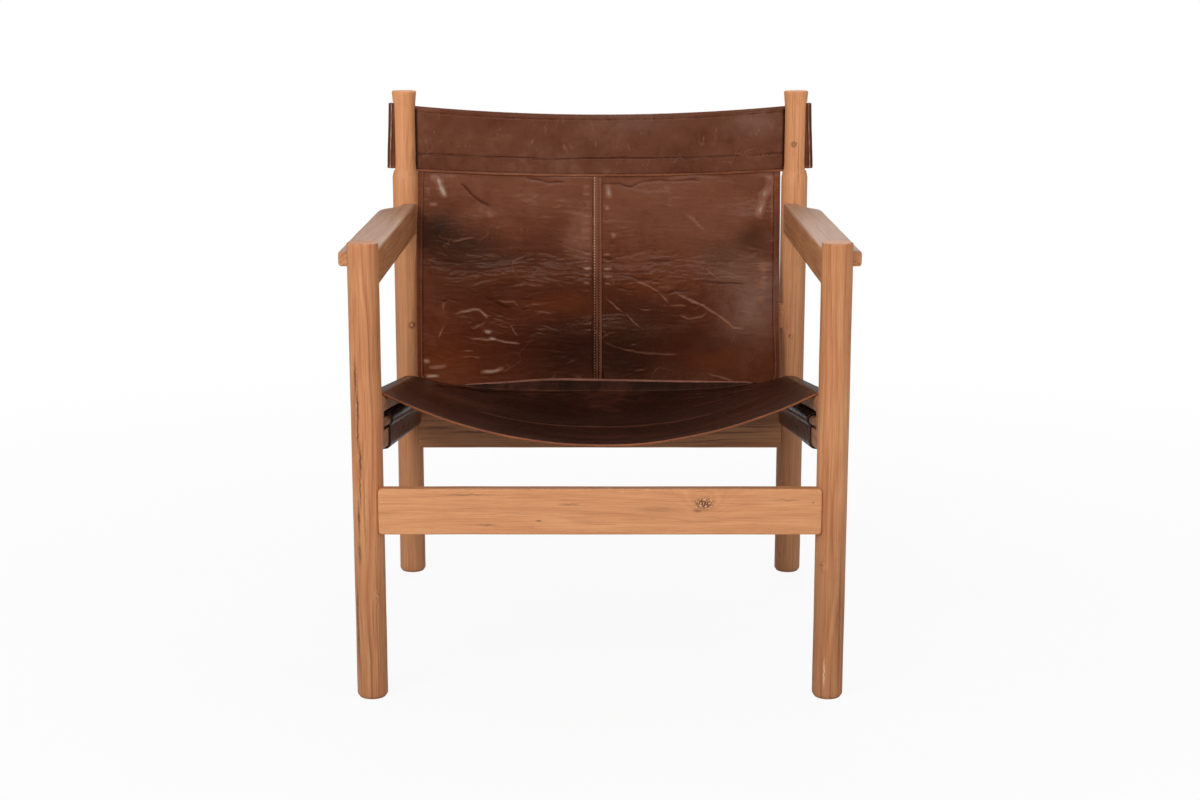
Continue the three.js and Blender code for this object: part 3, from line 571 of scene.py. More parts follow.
def teak(
    name, axis, seed, pith=(30.0, 46.0), streaks=0.5, shade=1.0, soft=0.0, painted_top_sheen=0.0,
    knot=None, marks_and_shade=(), scars=(),
):
    """Oiled wood with its grain along an axis. Pith is where the tree's middle was, across the grain."""
    g = Graph(name)
    place = g.here()
    axes = g.add("SeparateXYZ", place).outputs
    u, v, w = (axes[i] for i in ALONG[axis])
    seeded = g.vector(u, v, g.plus(g.times(w, 0.16), seed * 0.37))
    drift = g.add("SeparateColor", g.noise(seeded, 15.0, output="Color")).outputs
    squares = []
    for across, push, middle in zip((u, v), drift, pith):
        away = g.plus(across, g.times(g.plus(push, -0.5), 0.036), middle * MM)
        squares.append(g.times(away, away))
    ring = g.math("SQRT", g.plus(*squares))
    warped = g.moved(place, 160.0, 2.0, WARP)
    if knot:
        middle, radius = knot
        radii = [radius * (KNOT_STRETCH if key == axis else 1.0) for key in "xyz"]
        ring = g.plus(ring, g.times(g.patch(warped, middle, [1.5 * r for r in radii]), radius * 2.0 * MM))
        heart = g.patch(warped, middle, [0.7 * r for r in radii], 3.0)

    def grain(fine, along, detail=3.0, roughness=0.6, shift=0.0):
        """Noise that is drawn out along the wood."""
        drawn = g.vector(g.times(u, fine), g.times(v, fine), g.plus(g.times(w, along), shift))
        return g.noise(drawn, 1.0, detail, roughness)

    bands = g.line_noise(g.plus(ring, seed * 0.713), 230.0, 3.0)
    lines = g.line_noise(g.plus(ring, seed * 0.419), 520.0, 1.5)
    slow = grain(30.0, 5.0, 2.0, 0.5, seed)
    strands = grain(260.0, 7.0)
    fibre = grain(900.0, 14.0)
    pores = grain(1500.0, 60.0, 1.0, 0.5)
    blotch = g.noise(place, 9.0 + seed * 0.3)

    def tone(red, green, blue):
        return rgb(red * shade, green * shade, blue * shade)

    colour = g.ramp(
        g.plus(g.times(bands, 0.45), g.times(strands, 0.55)),
        (0.36, tone(172, 109, 67)),
        (0.46, tone(192, 129, 83)),
        (0.56, tone(202, 142, 94)),
        (0.68, tone(212, 155, 107)),
    )
    colour = g.mix(g.spread(blotch, 0.35, 0.7, 0.0, 0.35), colour, tone(182, 110, 67))
    if soft:
        colour = g.mix(soft, colour, tone(206, 148, 102))
    dark = g.times(g.spread(lines, 0.58, 0.72), g.spread(slow, 0.45, 0.62), streaks)
    colour = g.mix(dark, colour, tone(112, 64, 39))
    colour = g.mix(g.spread(fibre, 0.38, 0.68, 0.0, 0.22), colour, tone(150, 92, 60), "MULTIPLY")
    colour = g.mix(g.spread(pores, 0.64, 0.76, 0.0, 0.3), colour, tone(110, 64, 40))
    if knot:
        inside = g.ramp(
            g.noise(warped, 420.0),
            (0.42, tone(58, 30, 19)),
            (0.53, tone(128, 76, 47)),
            (0.64, tone(220, 170, 128)),
        )
        colour = g.mix(g.times(heart, 0.95), colour, inside)
    # Marks darken the wood, some of them as painted shade; scars lighten it
    for spots, spot_tone in ((marks_and_shade, tone(70, 38, 24)), (scars, tone(236, 200, 164))):
        for middle, radii, depth in spots:
            colour = g.mix(g.times(g.patch(warped, middle, radii, 3.0), depth), colour, spot_tone)
    # Painted sheen: a grey reflection on the top face
    if painted_top_sheen:
        top = g.spread(axes[2], (ARM_TOP - 3.5) * MM, (ARM_TOP - 1.0) * MM, 0.0, painted_top_sheen)
        colour = g.mix(top, colour, rgb(160, 138, 124))
    relief = g.plus(g.times(fibre, 0.5), g.times(g.spread(pores, 0.6, 0.75), -0.6), g.times(lines, 0.3))
    return g.finish(
        Base_Color=colour,
        Roughness=g.spread(fibre, 0.25, 0.75, 0.42, 0.58),
        Normal=g.bump(relief, 0.0004, 0.5),
        Specular_IOR_Level=0.42,
    )


DRIFT = 0.06
# Painted black shadow for the darkest creases and the band's slots
PAINTED_BLACK_SHADOW = rgb(24, 10, 6)


def leather(name, deep, body, bright, sheen, patches=(), gloss=(0.2, 0.34), on_sheet=False, seed=0.0):
    """Waxed pull-up hide with patches of other tones, pale on its folds, with painted highlights on raised
    folds and painted shade in its creases.
    """
    g = Graph(name)
    place = g.attribute("flat", "Vector") if on_sheet else g.here()
    drifted = g.moved(place, 16.0, 3.0, DRIFT)
    place = g.vectors("ADD", place, (seed, seed, seed))
    fold = g.attribute("fold", "Fac")
    broad = g.noise(place, 9.0, 3.0)
    mottle = g.noise(place, 55.0, 4.0, 0.6)
    speck = g.noise(place, 420.0)
    cells = g.add("TexVoronoi", Vector=place, Scale=950.0, Randomness=0.9).outputs["Distance"]
    fine = g.noise(place, 190.0, 4.0, 0.62)
    to_edge = {"feature": "DISTANCE_TO_EDGE"}
    net = g.add("TexVoronoi", Vector=drifted, Scale=24.0, Randomness=1.0, settings=to_edge)
    lines = g.spread(net.outputs["Distance"], 0.004, 0.02, 1.0, 0.0)
    scratch = g.times(lines, g.spread(g.noise(place, 21.0), 0.56, 0.68))
    cloud = g.plus(g.times(broad, 0.7), g.times(mottle, 0.3))
    colour = g.mix(g.spread(cloud, 0.5, 0.36, 0.0, 0.45), body, deep)
    colour = g.mix(g.spread(cloud, 0.5, 0.66, 0.0, 0.4), colour, bright)
    for middle, radii, tone, depth in patches:
        share = g.times(g.patch(drifted, middle, radii), g.spread(mottle, 0.3, 0.7, 0.84, 1.06), depth)
        colour = g.mix(share, colour, tone)
    # The fold tint: pale, then a painted highlight in the sheen tone on raised folds; painted shade in the
    # deep tone in creases, and painted black shadow at the darkest
    raised = ((0.12, 0.65, 0.6, bright), (0.7, 1.6, 0.85, sheen))
    pressed = ((-0.12, -0.6, 0.75, deep), (-0.8, -1.4, 0.85, PAINTED_BLACK_SHADOW))
    for start, end, most, tone in raised + pressed:
        colour = g.mix(g.spread(fold, start, end, 0.0, most), colour, tone)
    colour = g.mix(g.times(g.spread(speck, 0.6, 0.72), 0.1), colour, deep)
    colour = g.mix(g.times(scratch, 0.3), colour, bright)
    relief = g.plus(g.times(fine, 0.75), g.times(cells, -0.35), g.times(scratch, -0.5))
    return g.finish(
        Base_Color=colour,
        Roughness=g.plus(g.spread(mottle, 0.3, 0.7, *gloss), g.times(speck, 0.05)),
        Normal=g.bump(relief, 0.0005, 0.42),
        Specular_IOR_Level=0.17,
        Specular_Tint=(1.0, 0.58, 0.4, 1.0),
        Coat_Weight=0.08,
        Coat_Roughness=0.1,
    )


def matte(name, pale, dark, scale, roughness, seed, fibre=0.0004, low_tone=None):
    """A matt surface with a nap: a hide's inner side, its cut edge, or thread, perhaps darker towards the
    bottom.
    """
    g = Graph(name)
    place = g.here()
    nap = g.noise(place, scale, 4.0, 0.65)
    tint = g.noise(place, 30.0 + seed, 3.0)
    colour = g.ramp(g.plus(g.times(nap, 0.55), g.times(tint, 0.45)), (0.35, dark), (0.65, pale))
    if low_tone is not None:
        height = g.add("SeparateXYZ", place).outputs[2]
        colour = g.mix(g.spread(height, 0.56, 0.4, 0.0, 0.9), colour, low_tone)
    rough = g.spread(nap, 0.3, 0.7, roughness - 0.08, roughness)
    return g.finish(Base_Color=colour, Roughness=rough, Normal=g.bump(nap, fibre, 0.6))


def steel(name):
    """Darkened steel, paler in patches of wear."""
    g = Graph(name)
    wear = g.noise(g.here(), 900.0, 3.0)
    colour = g.ramp(wear, (0.35, rgb(58, 48, 42)), (0.7, rgb(132, 122, 110)))
    rough = g.spread(wear, 0.3, 0.7, 0.3, 0.5)
    return g.finish(Base_Color=colour, Metallic=1.0, Roughness=rough, Normal=g.bump(wear, 0.0001))


# Wood


def arc(x, z, radius, start, end, count):
    angle = np.radians(np.linspace(start, end, count))
    return [(x + radius * math.cos(a), z + radius * math.sin(a)) for a in angle]


def between(start, end, count):
    """The inner points of a straight stretch that is cut into equal parts."""
    start, end = np.array(start, float), np.array(end, float)
    return [tuple(start + (end - start) * k / count) for k in range(1, count)]


def eased(reach, radius):
    """How far a rounded end draws in at a distance from the end."""
    return radius - math.sqrt(max(0, radius**2 - max(0, radius - reach) ** 2))


FOOT = [(0, 0), (8, 0), (16.6, 0), (17.3, 0.2), (17.8, 0.7), (20.05, 4.0), (20.35, 4.8), (20.5, 6.0)]
FOOT_TOP = 6.0
CROWN = 0.25
COVE = ((0, 0), (0.2, 0.05), (0.42, 0.18), (0.58, 0.34), (0.72, 0.5), (0.88, 0.76), (1, 1))


def shaft(high):
    """The straight part of a leg or post, from its foot."""
    return between((LEG_RADIUS, FOOT_TOP), (LEG_RADIUS, high), int((high - FOOT_TOP) / 14))


def rim(height, radius):
    edge = arc(radius - RIM_RADIUS, height - CROWN - RIM_RADIUS, RIM_RADIUS, 0, 88, 8)
    return edge + [(13, height - CROWN * 0.35), (6, height - CROWN * 0.05), (0, height)]


def waist():
    """A short cove up to the waist, and a long flare out to the cap."""
    slim = LEG_RADIUS - WAIST_INSET
    shares = np.linspace(0, 1, 12)
    out = along_table(shares, *zip(*COVE))
    lower = [(slim + o * WAIST_INSET, WAIST_LOW - s * LOWER_COVE) for s, o in zip(shares, out)]
    upper = [(slim + o * (CAP_RADIUS - slim), WAIST_HIGH + s * UPPER_COVE) for s, o in zip(shares, out)]
    return lower[::-1] + between((slim, WAIST_LOW), (slim, WAIST_HIGH), 8) + upper


def rod(radius, low, high, ease=0.8):
    """The outline of a rod with eased ends."""
    start = [(0, low), (radius * 0.5, low), *arc(radius - ease, low + ease, ease, -90, 0, 5)]
    end = [*arc(radius - ease, high - ease, ease, 0, 90, 5), (radius * 0.5, high), (0, high)]
    return start + between((radius, low), (radius, high), 12) + end


def box(x0, x1, y0, y1, z0, z1):
    return loft([[(x, y, z) for x, y in ((x0, y0), (x1, y0), (x1, y1), (x0, y1))] for z in (z0, z1)])


def apply_modifiers(made):
    mesh = bpy.data.meshes.new_from_object(made.evaluated_get(bpy.context.evaluated_depsgraph_get()))
    made.modifiers.clear()
    made.data = mesh


def cut_out(made, tools):
    """Cuts tools out of a piece and eases the new edges."""
    for tool in tools:
        cutter = mesh_object("tool", *tool)
        modifier = made.modifiers.new("cut", "BOOLEAN")
        modifier.operation, modifier.object, modifier.solver = "DIFFERENCE", cutter, "EXACT"
        apply_modifiers(made)
        bpy.data.objects.remove(cutter)
    bevel = made.modifiers.new("edge", "BEVEL")
    bevel.width, bevel.segments, bevel.limit_method = CUT_EDGE * MM, 2, "ANGLE"
    bevel.angle_limit = math.radians(50)
    apply_modifiers(made)
    made.data.shade_smooth()
    made.data.set_sharp_from_angle(angle=math.radians(32))


def plank(depths, heights):
    """A plank between the legs, with eased edges and rounded ends."""
    ends = np.array([0.0, 0.25, 0.8, 1.6, 2.6, 3.8, 5.0])
    inner = np.arange(8 - CROSS_REACH, CROSS_REACH - 8, 7)
    loops = []
    for x in np.concatenate([ends - CROSS_REACH, inner, CROSS_REACH - ends[::-1]]):
        reach = CROSS_REACH - abs(x)
        pull_y, pull_z = eased(reach, PLANK_EDGE), eased(reach, PLANK_CORNER)
        near, far = depths[0] + pull_y, depths[1] - pull_y
        low, high = heights[0] + pull_z, heights[1] - pull_z
        radius = min(PLANK_EDGE, (high - low) / 2, (far - near) / 2)
        corners = [(far - radius, low + radius), (far - radius, high - radius)]
        corners += [(near + radius, high - radius), (near + radius, low + radius)]
        bends = [arc(*corner, radius, 90 * k - 90, 90 * k, 6) for k, corner in enumerate(corners)]
        outline = []
        for k, count in enumerate((8, 3, 8, 3)):
            outline += bends[k] + between(bends[k][-1], bends[(k + 1) % 4][0], count)
        loops.append([(x, y, z) for y, z in outline])
    return loft(loops)


def armrest():
    """An armrest about the axis of the leg, from its front end to its narrow tail."""
    t = np.linspace(0, 1, 40)
    foot_reach = LEG_RADIUS / 2
    across = (1 - t) ** 3 * ARM_FOOT_END + 3 * t * (1 - t) * foot_reach + t**3 * LEG_RADIUS
    height = ARM_LOW + (3 * t**2 - 2 * t**3) * (ARM_EDGE - ARM_LOW)
    stops, shares = zip(*ARM_TAIL_SHARES)
    front = ARM_FRONT + np.array([0, 0.3, 0.8, 1.5, 2.5])
    loops = []
    for y in np.concatenate([front, np.arange(ARM_FRONT + 8, ARM_TAIL, 9), np.arange(ARM_TAIL, ARM_REAR, 3)]):
        share = np.clip((y - ARM_TAIL) / ARM_TAIL_LENGTH, 0, 1)
        pull = eased(y - ARM_FRONT, ARM_END_ROUND)
        outer = ARM_INNER + (ARM_OUTER - ARM_INNER) * float(along_table(share, stops, shares)) - pull
        inner_x, outer_x = ARM_INNER + pull + ARM_ROUND, outer - ARM_ROUND
        low, top = ARM_LOW + pull + ARM_ROUND, ARM_TOP - pull - ARM_ROUND
        edge_x = np.linspace(inner_x, outer_x, 26)
        edge_z = np.interp(edge_x, across, height) + pull
        outline = arc(inner_x, low, ARM_ROUND, 180, 268, 6)
        outline += list(zip(edge_x, edge_z))
        outline += arc(outer_x, edge_z[-1] + ARM_ROUND, ARM_ROUND, -88, 0, 6)
        outline += arc(outer_x, top, ARM_ROUND, 0, 90, 6)
        outline += between((outer_x, top + ARM_ROUND), (inner_x, top + ARM_ROUND), 8)
        outline += arc(inner_x, top, ARM_ROUND, 90, 180, 8)
        outline += between((inner_x - ARM_ROUND, top), (inner_x - ARM_ROUND, low), 6)
        loops.append([(x, y, z) for x, z in outline])
    return loft(loops)


WOOD = "teak"
DARK = "dowel_wood"


def in_place(prefix, name, points, faces, look, slot=WOOD, sharp=40.0, tools=()):
    """A wooden piece that stands in for a node of the frame, with tools cut out of it."""
    made = piece(f"{prefix}_{name}", points, faces, [look], sharp=sharp)
    if tools:
        cut_out(made, tools)
    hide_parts(name)


def recolour(name, look):
    """Gives a node of the frame another look."""
    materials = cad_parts[name].data.materials
    materials.clear()
    materials.append(look)


# Marks and scars are places, radii and depths of tone; some marks are painted shade, as noted below
wood_looks = {
    "front_leg_left": dict(
        seed=1, pith=(26, 30), streaks=0.85, shade=1.03, knot=((-296, -318, 145), 3.2),
        marks_and_shade=[
            ((-318.6, -317, 442), (1.2, 6, 26), 0.8), ((-316, -318, 402), (1.4, 6, 24), 0.85),
            ((-317, -318, 366), (1.3, 6, 24), 0.8), ((-314, -319, 330), (1.3, 6, 22), 0.85),
            ((-315, -318, 292), (1.1, 6, 24), 0.75), ((-318, -317, 250), (1.2, 6, 26), 0.8),
            ((-318, -317, 204), (2.2, 6, 16), 0.6), ((-323, -313, 105), (1.4, 8, 60), 0.75),
            # The last mark here is painted shade, darker towards the floor
            ((-310, -320, 250), (0.9, 6, 70), 0.4), ((-307, -300, 40), (60, 60, 170), 0.2),
        ],
    ),
    "front_leg_right": dict(
        seed=2, pith=(-34, 38), streaks=0.7, shade=1.03, knot=((293, -317, 186), 4.0),
        # The first mark is painted shade, darker towards the floor
        marks_and_shade=[((307, -300, 60), (60, 60, 200), 0.24), ((319, -313, 120), (1.6, 8, 110), 0.45)],
        scars=[((300, -320, 38), (0.9, 6, 18), 0.75)],
    ),
    "rear_post_left": dict(
        seed=3, pith=(-30, 42), streaks=0.25, shade=1.17, soft=0.4,
        # The second mark is painted shade, darker towards the bottom
        marks_and_shade=[((-300, 281, 409.5), (5.0, 8, 5.0), 0.95), ((-307, 300, 200), (60, 60, 450), 0.4)],
    ),
    "rear_post_right": dict(
        seed=4, pith=(38, 30), streaks=0.35, shade=1.17, soft=0.4, knot=((302, 280, 392), 3.0),
        marks_and_shade=[
            ((311, 280, 668), (1.2, 8, 34), 0.5), ((303.7, 283, 696), (4.2, 8, 4.2), 0.9),
            # Painted shade, darker towards the bottom
            ((307, 300, 180), (60, 60, 420), 0.5),
        ],
    ),
    "front_stretcher": dict(
        seed=11, pith=(-70, -20), streaks=0.12, shade=1.07, soft=0.45, knot=((137, -319, 272), 11.5),
        marks_and_shade=[
            # The first mark is painted shadow on the top face, under the seat
            ((0, -310, 292), (330, 8.4, 1.8), 0.6), ((-40, -319, 271), (13, 6, 1.3), 0.4),
            ((-81, -319, 249), (3.5, 6, 1.2), 0.6), ((-149, -319, 243), (12, 6, 1.4), 0.45),
            ((-178, -319, 284), (34, 6, 1.2), 0.4), ((75, -319, 264), (24, 6, 4), 0.22),
            ((128, -319, 262), (6, 6, 2), 0.5), ((246, -319, 277), (18, 6, 1.2), 0.4),
            ((281, -319, 274), (1.2, 6, 1.4), 0.7),
        ],
    ),
    "rear_stretcher": dict(
        seed=12, pith=(40, 10), streaks=0.85, shade=0.91,
        marks_and_shade=[
            ((-262, 284, 241), (34, 6, 1.5), 0.75), ((-205, 284, 234.5), (38, 6, 1.7), 0.75),
            ((-268, 284, 253), (26, 6, 1.2), 0.6), ((-150, 284, 230), (40, 6, 1.2), 0.5),
            ((230, 284, 254), (60, 6, 7), 0.5), ((245, 284, 243), (44, 6, 1.5), 0.7),
            ((180, 284, 232), (60, 6, 1.3), 0.5),
        ],
    ),
    "back_rail": dict(seed=13, pith=(50, 30), streaks=0.5, shade=0.97),
}

leg_profile = FOOT + shaft(FRONT_TOP - 4) + rim(FRONT_TOP, LEG_RADIUS)
post_profile = FOOT + shaft(WAIST_LOW - LOWER_COVE) + waist() + rim(REAR_TOP, CAP_RADIUS)
for side, sign in SIDES:
    name = f"front_leg_{side}"
    points, faces = turned(leg_profile, sign * LEG_X, FRONT_Y)
    in_place("turned", name, uneven(points, 20 + sign), faces, teak(name, "z", **wood_looks[name]))

    name = f"rear_post_{side}"
    points, faces = turned(post_profile, sign * LEG_X, REAR_Y)
    groove_ends = [(GROOVE_RADIUS, GROOVE_LOW), (GROOVE_RADIUS, SLOT_HIGH)]
    groove = turned(groove_ends, sign * ROLL_X, REAR_Y, segments=64)
    near, far = sign * LEG_X - 3 * LEG_RADIUS, sign * LEG_X + 3 * LEG_RADIUS
    slit = box(near, far, REAR_Y - SLOT_HALF, REAR_Y + SLOT_HALF, SLOT_LOW, SLOT_HIGH)
    look = teak(name, "z", **wood_looks[name])
    in_place("turned", name, uneven(points, 30 + sign), faces, look, tools=[groove, slit])

    name = f"armrest_{side}"
    points, faces = armrest()
    points = (points + (LEG_X, 0, 0)) * (sign, 1, 1)
    # The armrests' tops get a painted grey sheen
    look = teak(name, "y", 6 + sign, pith=(-60, 50 * sign), streaks=0.3, painted_top_sheen=0.5)
    in_place("shaped", name, uneven(points, 40 + sign, 0.3), faces, look, sharp=50)

rail_look = teak("seat_rail", "y", 9, shade=0.9)
for side, _ in SIDES:
    recolour(f"seat_rail_{side}", rail_look)

for name, sizes in (
    ("front_stretcher", FRONT_STRETCHER), ("rear_stretcher", REAR_STRETCHER), ("back_rail", BACK_RAIL),
):
    points, faces = plank(*sizes)
    points = uneven(points, wood_looks[name]["seed"], 0.25)
    in_place("planed", name, points, faces, teak(name, "x", **wood_looks[name]), sharp=50)


def into_chair(points):
    """Points of the seat's frame in the chair's frame."""
    x, y, z = np.moveaxis(np.asarray(points, float), -1, 0)
    return np.stack([x, y * SEAT_COS + z * SEAT_SIN, SEAT_HEIGHT - y * SEAT_SIN + z * SEAT_COS], -1)


def out_of_chair(points):
    """Points of the chair's frame in the seat's frame."""
    x, y, z = np.moveaxis(points - (0, 0, SEAT_HEIGHT), -1, 0)
    return np.stack([x, y * SEAT_COS - z * SEAT_SIN, y * SEAT_SIN + z * SEAT_COS], -1)


def roll_lean(z):
    """How far out the band's roll and its dowel stand at a height."""
    return ROLL_LEAN * smooth(z, 770, 640)


dowel_look = teak("dowel", "y", 15, streaks=0.6, shade=0.74)
peg_look = teak("peg", "y", 17, streaks=0.2, shade=0.98)
pin_look = teak("pin", "z", 16, streaks=0.6, shade=0.62)
band_rod = rod(DOWEL_RADIUS, BAND_DOWEL_LOW, BAND_DOWEL_HIGH)
for side, sign in SIDES:
    points, faces = turned(rod(DOWEL_RADIUS, DOWEL_FRONT, DOWEL_REAR), sign * HEM_X, 0, "y", 48)
    in_place("rounded", f"seat_dowel_{side}", into_chair(points), faces, dowel_look, DARK)
    points, faces = turned(band_rod, sign * ROLL_X, REAR_Y, segments=48)
    points[:, 0] += sign * roll_lean(points[:, 2])
    in_place("rounded", f"band_dowel_{side}", points, faces, pin_look, DARK)
    peg = turned(rod(*PEG), sign * PEG_X, PEG_HEIGHT, "y", 32)
    in_place("rounded", f"back_rail_peg_{side}", *peg, peg_look, DARK)
in_place("rounded", "post_plug_right", *turned(rod(*PLUG), PLUG_X, PLUG_HEIGHT, "y", 32), peg_look, DARK)

screw_look = steel("screw")
for side, _ in SIDES:
    recolour(f"hem_screw_{side}", screw_look)


# Leather

raw_edge = matte("raw_edge", rgb(156, 86, 42), rgb(102, 52, 24), 700, 0.75, 1)
lap_edge = matte("lap_edge", rgb(146, 88, 66), rgb(104, 56, 38), 700, 0.6, 5)
# Painted shade: the hem's cut edge, dark where it lies in the gap round the dowel
shaded_hem_edge = matte("shaded_hem_edge", rgb(70, 42, 30), rgb(38, 22, 16), 700, 0.75, 6)
suede = matte("suede", rgb(112, 84, 70), rgb(74, 52, 42), 500, 0.95, 2, 0.0006)
thread = matte("thread", rgb(238, 214, 184), rgb(196, 158, 122), 1500, 0.7, 3, low_tone=rgb(112, 66, 42))
dark_thread = matte("dark_thread", rgb(150, 102, 78), rgb(98, 60, 42), 1500, 0.7, 4)

# A milky tone for the painted reflection of the bright room on the upper back
MILKY_SHEEN = rgb(120, 72, 52)
RUSSET = rgb(84, 32, 10)
BURNT = rgb(46, 28, 20)
EMBER = rgb(42, 11, 3)
COAL = rgb(20, 5, 2)
AMBER = rgb(116, 54, 23)
back_hide = leather(
    "back_hide", rgb(62, 22, 8), rgb(96, 46, 26), rgb(146, 98, 76), rgb(172, 150, 138),
    patches=[
        # Painted reflection on the upper back, in the milky tone
        ((0, 285, 645), (420, 90, 95), MILKY_SHEEN, 0.85),
        ((165, 285, 565), (130, 90, 66), MILKY_SHEEN, 0.75),
        # A painted sheen by the seam
        ((-32, 285, 552), (20, 60, 36), rgb(138, 92, 74), 0.6),
        ((-245, 280, 468), (46, 80, 38), rgb(102, 56, 36), 0.6),
        ((-110, 280, 474), (115, 80, 34), rgb(66, 30, 15), 0.75),
        # Darker towards the bottom: partly the hide's tone and partly painted shade, where the back reflects
        # the dark seat
        ((-190, 280, 385), (130, 80, 66), RUSSET, 0.85),
        ((-55, 270, 372), (75, 80, 72), EMBER, 0.9),
        ((54, 270, 366), (84, 80, 80), COAL, 0.92),
        ((-238, 285, 352), (46, 60, 28), AMBER, 0.5),
        ((-63, 285, 446), (60, 60, 20), AMBER, 0.45),
        ((-165, 285, 489), (90, 60, 13), AMBER, 0.4),
        ((66, 285, 472), (60, 60, 13), AMBER, 0.35),
        # Darker towards the bottom on the right, partly painted shade
        ((165, 270, 364), (110, 80, 76), rgb(54, 17, 4), 0.92),
        ((196, 285, 354), (66, 60, 24), AMBER, 0.42),
        # A painted sheen on the right
        ((248, 280, 455), (38, 80, 50), rgb(132, 100, 86), 0.75),
        ((-256, 285, 562), (36, 60, 36), BURNT, 0.95),
        ((-210, 285, 540), (52, 60, 28), BURNT, 0.82),
        ((-165, 285, 508), (66, 60, 22), BURNT, 0.6),
        ((246, 285, 545), (30, 60, 30), rgb(70, 37, 23), 0.85),
        ((200, 285, 512), (36, 60, 34), rgb(86, 58, 46), 0.6),
    ],
)
band_hide = leather(
    "band_hide", rgb(70, 28, 11), rgb(106, 62, 44), rgb(150, 104, 84), rgb(190, 168, 156),
    patches=[
        ((0, 300, 745), (400, 60, 22), rgb(98, 54, 36), 0.5),
        ((-20, 300, 690), (60, 60, 26), rgb(92, 50, 32), 0.6),
        ((245, 300, 725), (40, 60, 16), rgb(132, 98, 84), 0.6),
        ((60, 300, 735), (70, 60, 16), rgb(122, 86, 72), 0.5),
    ],
    gloss=(0.22, 0.36), seed=3.0,
)
seat_hide = leather(
    "seat_hide", rgb(22, 8, 4), rgb(44, 20, 12), rgb(92, 50, 35), rgb(136, 112, 98), gloss=(0.26, 0.4),
    on_sheet=True, seed=5.0,
)


# Seat sling


def lap_y(z):
    """Where the turned-up margin stands in front of the back."""
    offset = ((SEAT_LEATHER + BACK_LEATHER) / 2 + SEAT_GAP) / math.cos(math.atan(BACK_TILT))
    return PANEL_FOOT_Y + (z - PANEL_FOOT) * BACK_TILT - offset


def crease_y(z):
    """The rear crease's place along the seat's slope, at a height above its middle."""
    start = lap_y(SEAT_HEIGHT) - LAP_BEND
    return (start + z * (BACK_TILT * SEAT_COS - SEAT_SIN)) / (SEAT_COS + BACK_TILT * SEAT_SIN)


# How free the leather hangs in its hem, between 0 on the rail and 1 over the gap
IN_HEM = 0.25


def seat_half(depth, fullness):
    """Half of the seat's cross-section: across, up, how far its front is set back, and how free it hangs."""
    wrap = SEAT_GAP + SEAT_LEATHER / 2
    top_radius, low_radius = RAIL_TOP_RADIUS + wrap, RAIL_LOW_RADIUS + wrap
    inner_top, outer_top = RAIL_INNER + RAIL_TOP_RADIUS, RAIL_OUTER - RAIL_TOP_RADIUS
    inner_low, outer_low = RAIL_INNER + RAIL_LOW_RADIUS, RAIL_OUTER - RAIL_LOW_RADIUS
    top_z, low_z = RAIL_HALF - RAIL_TOP_RADIUS, RAIL_LOW_RADIUS - RAIL_HALF
    leave_x, leave_z = inner_top, top_z + top_radius
    for _ in range(6):
        sag = depth - (top_z + top_radius - leave_z)
        lean = math.atan(fullness * sag / leave_x)
        leave_x = inner_top - top_radius * math.sin(lean)
        leave_z = top_z + top_radius * math.cos(lean)
    sag = depth - (top_z + top_radius - leave_z)
    free = int(SEAT_LEAVE_LENGTH / FINE)
    shares = np.arange(free) / free
    out = [(share * leave_x, leave_z - sag * (1 - share**fullness), 0, 1) for share in shares]

    def turn(x, z, radius, start, end, count, setback):
        for angle in np.radians(np.linspace(start, end, count)):
            out.append((x + radius * math.sin(angle), z + radius * math.cos(angle), setback, 0))

    def run(x0, z0, x1, z1, count, back0=0, back1=0):
        out.extend(between((x0, z0, back0, 0), (x1, z1, back1, 0), count))

    turn(inner_top, top_z, top_radius, -math.degrees(lean), 0, 10, 0)
    run(inner_top, top_z + top_radius, outer_top, top_z + top_radius, 4)
    turn(outer_top, top_z, top_radius, 0, 90, 12, 0)
    run(outer_top + top_radius, top_z, outer_low + low_radius, low_z, 22)
    turn(outer_low, low_z, low_radius, 90, 180, 9, 0)
    run(outer_low, low_z - low_radius, inner_low, low_z - low_radius, 7, 0, 1)
    turn(inner_low, low_z, low_radius, 180, 270, 9, 1)
    flap_x = inner_low - low_radius
    start = 2 * math.pi - math.acos((flap_x - HEM_X) / HEM_MIDDLE)
    hem_foot = HEM_MIDDLE * math.sin(start)
    run(flap_x, low_z, flap_x, hem_foot, 8, 1, 1)
    for angle in np.linspace(start, HEM_END, 34):
        out.append((HEM_X + HEM_MIDDLE * math.cos(angle), HEM_MIDDLE * math.sin(angle), 1, IN_HEM))
    return np.array(out)


